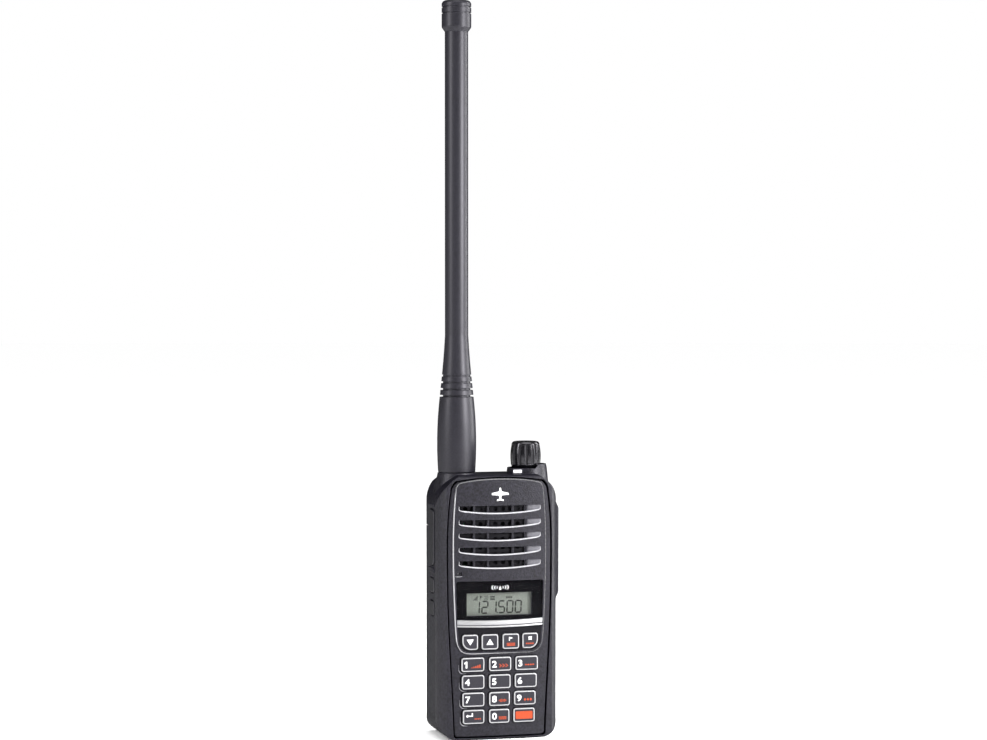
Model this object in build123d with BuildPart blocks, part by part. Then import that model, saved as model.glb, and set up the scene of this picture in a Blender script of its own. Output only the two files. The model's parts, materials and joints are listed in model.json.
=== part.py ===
from build123d import *
from math import cos, radians, sin, sqrt
import os

# Handheld airband radio. X is the user's right, Y is the depth (front at -Y), Z is up.
# The origin is the centre of the base that it stands on. All sizes are in millimetres.
os.makedirs("parts", exist_ok=True)

# Case
CASE_WIDTH = 52.2
CASE_DEPTH = 30.3
CASE_TOP = 110.2
SIDE_X = CASE_WIDTH / 2
REAR_Y = CASE_DEPTH / 2
FRONT_Y = -CASE_DEPTH / 2
FRONT_RADIUS = 224.0
FRONT_CORNER = (22.7, -14.0)
SIDE_FLAT_FRONT = -6.5
SIDE_FLAT_REAR = 7.0
REAR_CORNER_X = 21.0
CAVITY_X = 23.6
CAVITY_BOTTOM = 3.0
CAVITY_TOP = 107.4
SHELF_FRONT_Y = -8.0
SHELF_REAR_Y = -7.0
SHELF_WIDTH = 2.2
CAVITY_REAR_Y = 3.0
BAY_WALL_Y = 5.4
BAY_TOP = 88.4
FOOT_TOP = 2.2

# Front panel
SHIELD_STEP = 0.5
PANEL_WALL = 2.1
MESH_GAP = 0.05
MESH_THICK = 0.2
REVEAL = 0.7
SKIRT = 1.8
SKIRT_REAR_Y = -9.0
SKIRT_DEPTH = 10.0
THROUGH = 8.0
SLOT_TOPS = (97.7, 91.85, 86.35, 80.4, 74.8)
SLOT_HALF = 17.4
SLOT_END_DROP = 1.85
SLOT_MIDDLE_DROP = 3.15
SLOT_RIBS = (-11.0, -5.0, 5.6, 11.6)
RIB_HALF = 0.45
SPEAKER_Z = 84.5
MESH_SIZE = (35.6, 28.5)
MESH_PITCH = 3.2
MESH_HOLE = 1.0
MIC_X = -17.4
MIC_SLOT_X = (-19.3, -16.2)
MIC_SLOT_Z = (68.5, 70.3)
MIC_SLOT_DEPTH = 0.9
MIC_PORT_RADIUS = 0.5
MIC_RADIUS = 2.1

# Display and function keys
WINDOW_HALF = 18.8
WINDOW_BOTTOM = 49.8
WINDOW_TOP = 66.3
STRIP_BOTTOM = 46.7
STRIP_SAG = 0.5
BEZEL_BOTTOM = 36.75
BEZEL_TOP_HALF = 18.2
LCD_HALF = 14.05
LCD_BOTTOM = 51.7
LCD_TOP = 61.2
LCD_FRAME_Y = -12.3
LCD_FRAME_SPANS = ((-16.6, 16.6), (49.2, 63.4))
LCD_MASK_SPANS = ((-15.0, 15.0), (50.9, 62.0))
LCD_GLASS_SPANS = ((-14.6, 14.6), (51.3, 61.6))
LCD_GLASS_THICK = 1.2
LCD_OPENING = ((-15.3, 15.3), (50.6, 62.3))
WINDOW_THICK = 1.05
STRIP_THICK = 0.8
BEZEL_THICK = 1.0

# Keys
KEY_CORNER = 1.1
KEY_BIG_CORNER = 3.6
KEY_EDGE = 0.3
KEY_GAP = 0.35
KEY_PROUD = 0.4
KEY_FLANGE_Y = -12.2
KEY_FLANGE_THICK = 0.5
MAT_Y = -11.0
MAT_THICK = 0.8
BOARD_THICK = 1.0
MAT_SIZE = (34.2, 39.4)
MAT_MIDDLE_Z = 26.4
DOME_RADIUS = 2.4
DOME_HEIGHT = 0.3
DOME_ROOM = (2.6, 0.4)
ROW_BOTTOMS = (28.6, 21.3, 14.0, 6.8)
KEY_HEIGHT = 5.9
COLUMN_LEFT = ((-16.7, -6.8), (-16.5, -6.8), (-16.3, -6.8), (-16.1, -6.8))
COLUMN_MIDDLE = ((-4.9, 4.7), (-4.9, 4.4), (-4.9, 4.1), (-4.9, 3.9))
COLUMN_RIGHT = ((6.5, 16.3), (6.2, 15.8), (5.9, 15.3), (5.6, 14.9))
FUNCTION_KEY_BOTTOM = 37.7
FUNCTION_KEY_TOP = 44.1
FUNCTION_KEY_SPANS = ((-16.3, -9.5), (-8.1, -0.9), (0.9, 8.1), (9.5, 16.3))

# Side controls
PTT_BOTTOM = 72.2
PTT_TOP = 95.7
PTT_FRONT_Y = -6.0
PTT_REAR_Y = 3.0
PTT_PROUD = 0.45
PTT_CORNER = 3.0
SIDE_KEY_Z = (63.9, 54.25)
SIDE_KEY_HEIGHT = 6.3
SIDE_KEY_FRONT_Y = -6.0
SIDE_KEY_REAR_Y = 2.4
SIDE_KEY_CORNER = 2.4
SIDE_KEY_PROUD = 0.3
SIDE_FIT = 0.3
SIDE_EDGE = 0.4

# Jack cover
COVER_BOTTOM = 57.0
COVER_TOP = 98.5
COVER_PROUD = 1.8
COVER_FRONT_Y = -6.4
COVER_HINGE_X = 27.3
COVER_HINGE_Y = 4.3
COVER_BARREL_RADIUS = 0.95
COVER_PIN_RADIUS = 0.5
JACK_Z = (84.0, 72.4)
JACK_RADIUS = (1.8, 1.3)
JACK_DEPTH = 12.0
JACK_Y = -1.0
JACK_FACE_X = 25.6

# Antenna
ANTENNA_X = -15.0
FLARE_BOTTOM = 101.0
BOSS_FOOT_RADIUS = 10.2
BOSS_RADIUS = 8.0
BOSS_TOP = 110.8
ANTENNA_POCKET = 6.8
POCKET_DEPTH = 11.4
BOOT_BOTTOM = 111.0
SHAFT_RADIUS = 4.9
SHAFT_TOP = 295.25
ANTENNA_TOP = 308.3
CAP_RADIUS = 6.2
CAP_STEM = 2.0
CAP_STEM_BOTTOM = 289.0
COIL_ROOM = 3.2
SLEEVE_TOP = 126.0
BOOT_GROOVES = (143.0, 145.85, 148.7, 151.5)
CAP_GROOVES = (303.0, 305.5)
BARREL_RADIUS = 4.8
BARREL_BORE = 3.2
COLLAR_RADIUS = 6.2
COLLAR_Z = 106.2
JACK_BOTTOM = 101.0
JACK_TOP = 121.0
CONTACT_RADIUS = 1.2
PIN_RADIUS = 0.65
COIL_RADIUS = 2.4
WIRE_RADIUS = 0.45
LUG_RADIUS = 1.0
LUG_REACH = 5.9
LUG_Z = 117.5
SLEEVE_BORE = 4.88
SLEEVE_RADIUS = 6.6
BAYONET_TURN = 90.0
BAYONET_RISE = 2.0

# Volume knob
KNOB_X = 15.0
KNOB_BOTTOM = 112.2
KNOB_TOP = 123.5
KNOB_RADIUS = 6.45
FLUTES = 14
KNOB_SHAFT_RADIUS = 1.5
KNOB_SHAFT_FIT = 0.05
VOLUME_BUSH = 2.95
VOLUME_POCKET = 5.2
CUP_X = 15.6
CUP_FOOT_RADIUS = 9.6
CUP_RADIUS = 8.4
CUP_BORE = 7.0
CUP_WALL_SHIFT = (3.6, 1.6)
CUP_FLOOR = 111.4
CUP_LOW = 112.4
CUP_HIGH = 114.0
LIGHT_HOUSING = ((7.2, 12.2), (-7.6, -3.0), (CAVITY_TOP + 1, CUP_LOW))
LENS_SPANS = ((7.7, 11.2), (-7.75, -6.4), (110.6, 111.9))

# Battery
BATTERY_FRONT_Y = 5.8
BAY_RIBS = ((-19.0, 8.0, BAY_TOP), (19.0, 8.0, BAY_TOP), (-14.0, FOOT_TOP, 9.0), (14.0, FOOT_TOP, 9.0))
BATTERY_BOTTOM = 2.7
BATTERY_TOP = 88.0
BATTERY_SLOPE = 2.3
SWING_Y = 9.4
SWING_Z = 90.0
SWING_RADIUS = 1.5
LUG_SPANS = ((-21.0, -17.2), (17.2, 21.0))
LATCH_TRAVEL = 2.0
LATCH_Z = (5.2, 11.2)

# Screws
SCREW_RADIUS = 1.0
SCREW_HEAD_RADIUS = 1.8
SCREW_POST_RADIUS = 1.8
SCREW_SPOTS = ((-19.6, 94.2), (19.6, 94.2), (-18.0, 4.4), (18.0, 4.4))
SCREW_TIP_Y = -11.4
SCREW_SEAT_Y = 4.0
CLIP_SCREW_RADIUS = 1.25
CLIP_SPACING = 25.0
CLIP_Z = 98.0
CHASSIS_PLATE_Y = 9.5
CHASSIS_PLATE = 16.0
CHASSIS_NECK = 14.0
CHASSIS_LOW = 90.5
NECK_TOP = 95.5
PLATE_TOP = 105.0
FIN_GROOVES = (92.6, 103.2)
TERMINAL_XS = (-8.0, 0.0, 8.0)
TERMINAL_Z = (18.0, 22.0)
CONTACT_Z = (17.4, 22.6)
CONTACT_HALF = 1.4
CONTACT_REAR_Y = 6.4


def front_y(x, depth=0.0):
    """Where the curved front lies at x, at a depth below its surface."""
    return FRONT_Y + FRONT_RADIUS - sqrt((FRONT_RADIUS - depth) ** 2 - x**2)


def save(part, name):
    """Labels a finished piece and writes it as its own file."""
    part.label = name
    export_step(part, f"parts/{name}.step")


def layer(outer, inner):
    """Everything between two depths below the curved front."""
    with BuildPart() as slab:
        with BuildSketch():
            with Locations((0, FRONT_Y + FRONT_RADIUS)):
                Circle(FRONT_RADIUS - outer)
                Circle(FRONT_RADIUS - inner, mode=Mode.SUBTRACT)
            with Locations((0, FRONT_Y)):
                Rectangle(CASE_WIDTH + 10, 16, mode=Mode.INTERSECT)
        extrude(amount=CASE_TOP)
    return slab.part


def panel(outline, outer, inner):
    """A piece of the curved front with this outline, between two depths."""
    with BuildPart() as piece:
        with BuildSketch(Plane.XZ.offset(-SKIRT_REAR_Y)):
            add(outline)
        extrude(amount=THROUGH)
        add(layer(outer, inner), mode=Mode.INTERSECT)
    return piece.part


def half_to_whole(edges):
    """The face inside a right-hand outline and its mirror image."""
    with BuildSketch() as face:
        with BuildLine():
            add(edges)
            mirror(about=Plane.YZ)
        make_face()
    return face.sketch


def panel_outline(margin=0.0):
    """The front case's edge, slightly barrel-shaped with an arched top, moved inward by a margin."""
    with BuildLine() as edge:
        bottom = Line((0, 0.8 + margin), (18.6 - margin, 0.8 + margin))
        corner = ThreePointArc(bottom @ 1, (19.5 - margin, 1.2 + margin), (19.9 - margin, 2.2 + margin))
        side = Spline(corner @ 1, (20.9 - margin, 24), (22.3 - margin, 52), (22.7 - margin, 75),
                      (22.4 - margin, 92), (21.2 - margin, 103.4))
        shoulder = ThreePointArc(side @ 1, (20.5 - margin, 106.4 - margin), (18.8 - margin, 108.2 - margin))
        ThreePointArc(shoulder @ 1, (9.6, 109.3 - margin), (0, 109.6 - margin))
    return half_to_whole(edge.line)


def shield_outline():
    """The raised centre panel's edge: wide at the display, closing below the function keys."""
    with BuildLine() as edge:
        bottom = Line((0, 36.0), (13.0, 36.0))
        corner = ThreePointArc(bottom @ 1, (16.9, 37.3), (18.5, 41.6))
        side = Spline(corner @ 1, (19.2, 52), (19.8, 70), (19.8, 88), (18.9, 103))
        shoulder = ThreePointArc(side @ 1, (18.2, 106), (16.2, 107.4))
        ThreePointArc(shoulder @ 1, (8.2, 108.5), (0, 108.8))
    return half_to_whole(edge.line)


def bezel_outline():
    """The function keys' surround, with big lower corners."""
    with BuildLine() as edge:
        bottom = Line((0, BEZEL_BOTTOM), (12.6, BEZEL_BOTTOM))
        corner = ThreePointArc(bottom @ 1, (16.1, 38.0), (17.7, 42.0))
        side = Line(corner @ 1, (BEZEL_TOP_HALF, STRIP_BOTTOM + STRIP_SAG))
        ThreePointArc(side @ 1, (9.1, STRIP_BOTTOM + STRIP_SAG / 4), (0, STRIP_BOTTOM))
    return half_to_whole(edge.line)


def strip_outline():
    """The bright strip between the window and the function keys, sagging a little."""
    with BuildLine() as edge:
        low = ThreePointArc((0, STRIP_BOTTOM), (9.1, STRIP_BOTTOM + STRIP_SAG / 4),
                            (BEZEL_TOP_HALF, STRIP_BOTTOM + STRIP_SAG))
        end = Line(low @ 1, (WINDOW_HALF - 0.3, WINDOW_BOTTOM + STRIP_SAG))
        ThreePointArc(end @ 1, (9.3, WINDOW_BOTTOM + STRIP_SAG / 4), (0, WINDOW_BOTTOM))
    return half_to_whole(edge.line)


def window_outline():
    """The display window, with its lower edge on the bright strip."""
    with BuildLine() as edge:
        low = ThreePointArc((0, WINDOW_BOTTOM), (9.3, WINDOW_BOTTOM + STRIP_SAG / 4),
                            (WINDOW_HALF - 0.3, WINDOW_BOTTOM + STRIP_SAG))
        side = Line(low @ 1, (WINDOW_HALF, WINDOW_TOP - 1))
        corner = ThreePointArc(side @ 1, (WINDOW_HALF - 0.3, WINDOW_TOP - 0.3),
                               (WINDOW_HALF - 1, WINDOW_TOP))
        Line(corner @ 1, (0, WINDOW_TOP))
    return half_to_whole(edge.line)


def slot_outline(top):
    """One speaker slot: straight above, curved like a smile below."""
    with BuildLine() as edge:
        low = ThreePointArc((0, top - SLOT_MIDDLE_DROP), (SLOT_HALF / 2, top - 2.95),
                            (SLOT_HALF, top - SLOT_END_DROP))
        side = Line(low @ 1, (SLOT_HALF, top))
        Line(side @ 1, (0, top))
    return half_to_whole(edge.line)


def key_outline(left, right, bottom, top, growth=0.0, big_corner=0):
    """A key's rounded outline. big_corner is -1 or 1 where the lower left or right corner is large."""
    small = KEY_CORNER + growth
    large = KEY_BIG_CORNER + growth
    with BuildSketch() as face:
        with Locations(((left + right) / 2, (bottom + top) / 2)):
            Rectangle(right - left + 2 * growth, top - bottom + 2 * growth)
        corners = face.vertices()
        low = corners.group_by(Axis.Y)[0].sort_by(Axis.X)
        if big_corner == 0:
            fillet(corners, small)
        else:
            chosen = low[0] if big_corner < 0 else low[-1]
            fillet([v for v in corners if v != chosen], small)
            fillet(face.vertices().group_by(Axis.Y)[0].sort_by(Axis.X)[0 if big_corner < 0 else -1], large)
    return face.sketch


def block(x_span, y_span, z_span):
    """A plain block between limits, for cutting and joining."""
    corner = (x_span[0], y_span[0], z_span[0])
    size = (x_span[1] - x_span[0], y_span[1] - y_span[0], z_span[1] - z_span[0])
    with BuildPart() as piece:
        with Locations(corner):
            Box(*size, align=(Align.MIN, Align.MIN, Align.MIN))
    return piece.part


def screw_cuts(radius, y_from, y_to):
    """Round cuts along the case screws' axes."""
    with BuildPart() as cuts:
        with BuildSketch(Plane.XZ.offset(-y_to)):
            with Locations(*SCREW_SPOTS):
                Circle(radius)
        extrude(amount=y_to - y_from)
    return cuts.part


def ptt_outline(growth):
    """The talk switch's outline, seen from the side."""
    with BuildSketch() as face:
        with Locations(((PTT_FRONT_Y + PTT_REAR_Y) / 2, (PTT_BOTTOM + PTT_TOP) / 2)):
            RectangleRounded(PTT_REAR_Y - PTT_FRONT_Y + 2 * growth,
                             PTT_TOP - PTT_BOTTOM + 2 * growth, PTT_CORNER)
    return face.sketch


def side_key_outline(centre_z, growth):
    """A side key's outline, seen from the side."""
    with BuildSketch() as face:
        with Locations(((SIDE_KEY_FRONT_Y + SIDE_KEY_REAR_Y) / 2, centre_z)):
            RectangleRounded(SIDE_KEY_REAR_Y - SIDE_KEY_FRONT_Y + 2 * growth,
                             SIDE_KEY_HEIGHT + 2 * growth, SIDE_KEY_CORNER)
    return face.sketch


# Key layout: name, left, right, bottom, top, large corner
key_rows = []
for row, names in enumerate((("1", "2", "3"), ("4", "5", "6"), ("7", "8", "9"), ("enter", "0", "function"))):
    for name, spans in zip(names, (COLUMN_LEFT, COLUMN_MIDDLE, COLUMN_RIGHT)):
        bottom = ROW_BOTTOMS[row]
        key_rows.append((f"key_{name}", *spans[row], bottom, bottom + KEY_HEIGHT, 0))
function_rows = []
for name, span, corner in zip(("down", "up", "memory", "clear"), FUNCTION_KEY_SPANS, (-1, 0, 0, 1)):
    function_rows.append((f"key_{name}", *span, FUNCTION_KEY_BOTTOM, FUNCTION_KEY_TOP, corner))


# Outer shape of the case: plan, front and side outlines intersected
with BuildPart() as envelope:
    with BuildSketch():
        with BuildLine() as plan:
            nose = ThreePointArc((-FRONT_CORNER[0], FRONT_CORNER[1]), (0, FRONT_Y), FRONT_CORNER)
            right_front = ThreePointArc(nose @ 1, (25.2, -10.7), (SIDE_X, SIDE_FLAT_FRONT))
            right = Line(right_front @ 1, (SIDE_X, SIDE_FLAT_REAR))
            right_rear = ThreePointArc(right @ 1, (24.9, 11.9), (REAR_CORNER_X, REAR_Y))
            back = Line(right_rear @ 1, (-REAR_CORNER_X, REAR_Y))
            left_rear = ThreePointArc(back @ 1, (-24.9, 11.9), (-SIDE_X, SIDE_FLAT_REAR))
            left = Line(left_rear @ 1, (-SIDE_X, SIDE_FLAT_FRONT))
            ThreePointArc(left @ 1, (-25.2, -10.7), nose @ 0)
        make_face()
    extrude(amount=CASE_TOP)
    with BuildLine() as front_view:
        low = Line((0, 0), (18.2, 0))
        toe = ThreePointArc(low @ 1, (23.8, 2.6), (SIDE_X, 8.4))
        wall = Line(toe @ 1, (SIDE_X, 95.0))
        shoulder = ThreePointArc(wall @ 1, (25.1, 101.6), (22.0, 106.4))
        slope = ThreePointArc(shoulder @ 1, (19.9, 108.3), (17.0, CASE_TOP))
        Line(slope @ 1, (0, CASE_TOP))
    with BuildSketch(Plane.XZ):
        add(half_to_whole(front_view.line))
    extrude(amount=CASE_DEPTH, both=True, mode=Mode.INTERSECT)
    with BuildSketch(Plane.YZ):
        with BuildLine():
            base = Line((FRONT_Y + 1.6, 0), (REAR_Y - 1.6, 0))
            heel = ThreePointArc(base @ 1, (REAR_Y - 0.5, 0.5), (REAR_Y, 1.6))
            spine = Line(heel @ 1, (REAR_Y, 104))
            nape = ThreePointArc(spine @ 1, (REAR_Y - 1.8, 108.4), (REAR_Y - 6.2, CASE_TOP))
            roof = Line(nape @ 1, (FRONT_Y + 3.0, CASE_TOP))
            brow = ThreePointArc(roof @ 1, (FRONT_Y + 0.9, 109.3), (FRONT_Y, 107.2))
            face = Line(brow @ 1, (FRONT_Y, 1.6))
            ThreePointArc(face @ 1, (FRONT_Y + 0.5, 0.5), base @ 0)
        make_face()
    extrude(amount=CASE_WIDTH, both=True, mode=Mode.INTERSECT)


# Front case: a curved panel with a raised centre, a skirt behind it and screw posts
panel_edge = panel_outline()
case_edge = panel_outline(REVEAL)
inner_edge = panel_outline(REVEAL + SKIRT)
with BuildPart() as front_case:
    add(panel(case_edge, SHIELD_STEP, SKIRT_DEPTH))
    add(panel(shield_outline(), 0, SHIELD_STEP + 1))
    add(panel(inner_edge, PANEL_WALL, SKIRT_DEPTH), mode=Mode.SUBTRACT)
    add(envelope.part, mode=Mode.INTERSECT)
    with BuildSketch(Plane.XZ.offset(-SKIRT_REAR_Y)):
        with Locations(*SCREW_SPOTS):
            Circle(SCREW_POST_RADIUS)
        add(case_edge, mode=Mode.INTERSECT)
    extrude(amount=4)
    add(screw_cuts(SCREW_RADIUS, SCREW_TIP_Y - 0.3, SKIRT_REAR_Y), mode=Mode.SUBTRACT)
    for top in SLOT_TOPS:
        with BuildSketch(Plane.XZ.offset(-SKIRT_REAR_Y)):
            add(slot_outline(top))
        extrude(amount=THROUGH, mode=Mode.SUBTRACT)
    for rib_x in SLOT_RIBS:
        add(block((rib_x - RIB_HALF, rib_x + RIB_HALF), (FRONT_Y + 1.1, FRONT_Y + PANEL_WALL + 0.1),
                  (SLOT_TOPS[-1] - 4, SLOT_TOPS[0] + 1)))
    add(panel(window_outline(), -2, WINDOW_THICK), mode=Mode.SUBTRACT)
    add(panel(strip_outline(), -2, STRIP_THICK), mode=Mode.SUBTRACT)
    add(panel(bezel_outline(), -2, BEZEL_THICK), mode=Mode.SUBTRACT)
    add(block(LCD_OPENING[0], (FRONT_Y - 1, SKIRT_REAR_Y - 0.5), LCD_OPENING[1]), mode=Mode.SUBTRACT)
    for name, left, right, bottom, top, corner in key_rows + function_rows:
        with BuildSketch(Plane.XZ.offset(-SKIRT_REAR_Y)):
            add(key_outline(left, right, bottom, top, KEY_GAP, corner))
        extrude(amount=THROUGH, mode=Mode.SUBTRACT)
    add(block(MIC_SLOT_X, (FRONT_Y - 1, front_y(MIC_SLOT_X[1]) + MIC_SLOT_DEPTH), MIC_SLOT_Z),
        mode=Mode.SUBTRACT)
    with Locations(Plane(origin=(MIC_X, -12, sum(MIC_SLOT_Z) / 2), z_dir=(0, 1, 0))):
        Cylinder(MIC_PORT_RADIUS, 6, mode=Mode.SUBTRACT)
save(front_case.part, "front_case")


# Window, bright strip and function key surround, each let into the front case
with BuildPart() as display_window:
    add(panel(window_outline(), 0.15, WINDOW_THICK))
save(display_window.part, "display_window")

with BuildPart() as trim_strip:
    add(panel(strip_outline(), -0.1, STRIP_THICK))
save(trim_strip.part, "trim_strip")

with BuildPart() as function_bezel:
    add(panel(bezel_outline(), 0.1, BEZEL_THICK))
    for name, left, right, bottom, top, corner in function_rows:
        with BuildSketch(Plane.XZ.offset(-SKIRT_REAR_Y)):
            add(key_outline(left, right, bottom, top, KEY_GAP, corner))
        extrude(amount=THROUGH, mode=Mode.SUBTRACT)
save(function_bezel.part, "function_bezel")


# Display behind the window: a frame with a raised mask, and the glass in it
with BuildPart() as lcd_frame:
    add(block(LCD_FRAME_SPANS[0], (LCD_FRAME_Y, LCD_FRAME_Y + 2.0), LCD_FRAME_SPANS[1]))
    add(block(LCD_MASK_SPANS[0], (LCD_FRAME_Y - 0.9, LCD_FRAME_Y), LCD_MASK_SPANS[1]))
    add(block((-LCD_HALF, LCD_HALF), (LCD_FRAME_Y - 1, LCD_FRAME_Y + 3), (LCD_BOTTOM, LCD_TOP)),
        mode=Mode.SUBTRACT)
    add(block(LCD_GLASS_SPANS[0], (LCD_FRAME_Y, LCD_FRAME_Y + LCD_GLASS_THICK), LCD_GLASS_SPANS[1]),
        mode=Mode.SUBTRACT)
save(lcd_frame.part, "lcd_frame")

with BuildPart() as lcd_glass:
    add(block(LCD_GLASS_SPANS[0], (LCD_FRAME_Y, LCD_FRAME_Y + LCD_GLASS_THICK), LCD_GLASS_SPANS[1]))
save(lcd_glass.part, "lcd_glass")


# Speaker behind the slots: a perforated sheet, the basket with its magnet, and the cone
with BuildPart() as grille_mesh:
    with BuildSketch() as mesh_edge:
        with Locations((0, SPEAKER_Z + 0.5)):
            RectangleRounded(*MESH_SIZE, 3)
    add(panel(mesh_edge.sketch, PANEL_WALL + MESH_GAP, PANEL_WALL + MESH_GAP + MESH_THICK))
    with BuildSketch(Plane.XZ.offset(-SKIRT_REAR_Y)):
        with Locations((0, SPEAKER_Z + 0.5)):
            with GridLocations(MESH_PITCH, MESH_PITCH, 10, 8):
                Circle(MESH_HOLE)
    extrude(amount=THROUGH, mode=Mode.SUBTRACT)
save(grille_mesh.part, "grille_mesh")

speaker_plane = Plane(origin=(0, 0, SPEAKER_Z), x_dir=(1, 0, 0), z_dir=(0, 0, 1))
speaker_axis = Axis((0, 0, SPEAKER_Z), (0, 1, 0))
with BuildPart() as speaker_basket:
    with BuildSketch(speaker_plane):
        with BuildLine():
            Polyline((13.4, -12.2), (15.4, -12.2), (15.4, -11.2), (9.0, -8.9), (9.0, -7.5), (0, -7.5),
                     (0, -9.2), (5.2, -9.2), (13.4, -11.6), close=True)
        make_face()
    revolve(axis=speaker_axis)
save(speaker_basket.part, "speaker_basket")

with BuildPart() as speaker_cone:
    with BuildSketch(speaker_plane):
        with BuildLine():
            Polyline((0, -10.6), (3.6, -9.9), (11.8, -12.1), (13.3, -12.1), (13.3, -11.9), (11.8, -11.8),
                     (3.6, -9.6), (0, -10.3), close=True)
        make_face()
    revolve(axis=speaker_axis)
save(speaker_cone.part, "speaker_cone")

with BuildPart() as microphone:
    with Locations(Plane(origin=(MIC_X, -11.2, sum(MIC_SLOT_Z) / 2), z_dir=(0, 1, 0))):
        Cylinder(MIC_RADIUS, 1.8)
        with Locations((0, 0, 0.9)):
            Cylinder(1.2, 1.0, align=(Align.CENTER, Align.CENTER, Align.MIN))
save(microphone.part, "microphone")


# Keypad behind the front case: rubber mat, metal domes and the board they click on
key_centres = []
for name, left, right, bottom, top, corner in key_rows + function_rows:
    key_centres.append(((left + right) / 2, (bottom + top) / 2))

with BuildPart() as keypad_mat:
    with BuildSketch(Plane.XZ.offset(-MAT_Y)):
        with Locations((0, MAT_MIDDLE_Z)):
            RectangleRounded(*MAT_SIZE, 1.5)
    extrude(amount=-MAT_THICK)
    with BuildSketch(Plane.XZ.offset(-MAT_Y - MAT_THICK)):
        with Locations(*key_centres):
            Circle(DOME_ROOM[0])
    extrude(amount=DOME_ROOM[1], mode=Mode.SUBTRACT)
save(keypad_mat.part, "keypad_mat")

with BuildPart() as key_domes:
    with BuildSketch(Plane.XZ.offset(-MAT_Y - MAT_THICK)):
        with Locations(*key_centres):
            Circle(DOME_RADIUS)
    extrude(amount=DOME_HEIGHT, taper=30)
save(key_domes.part, "key_domes")

with BuildPart() as keypad_board:
    add(block((-17.2, 17.2), (MAT_Y + MAT_THICK, MAT_Y + MAT_THICK + BOARD_THICK), (6.6, 46.2)))
save(keypad_board.part, "keypad_board")


# Keys: a cap through the panel, and a flange that holds it in from behind
for name, left, right, bottom, top, corner in key_rows + function_rows:
    middle = (left + right) / 2
    with BuildPart() as key:
        with BuildSketch(Plane.XZ.offset(-KEY_FLANGE_Y)):
            add(key_outline(left, right, bottom, top, 0, corner))
        extrude(amount=KEY_FLANGE_Y - front_y(middle) + KEY_PROUD)
        fillet(key.faces().sort_by(Axis.Y)[0].edges(), KEY_EDGE)
        with BuildSketch(Plane.XZ.offset(-KEY_FLANGE_Y - KEY_FLANGE_THICK)):
            add(key_outline(left, right, bottom, top, KEY_GAP + 0.1, corner))
        extrude(amount=KEY_FLANGE_THICK)
    save(key.part, name)


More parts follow.
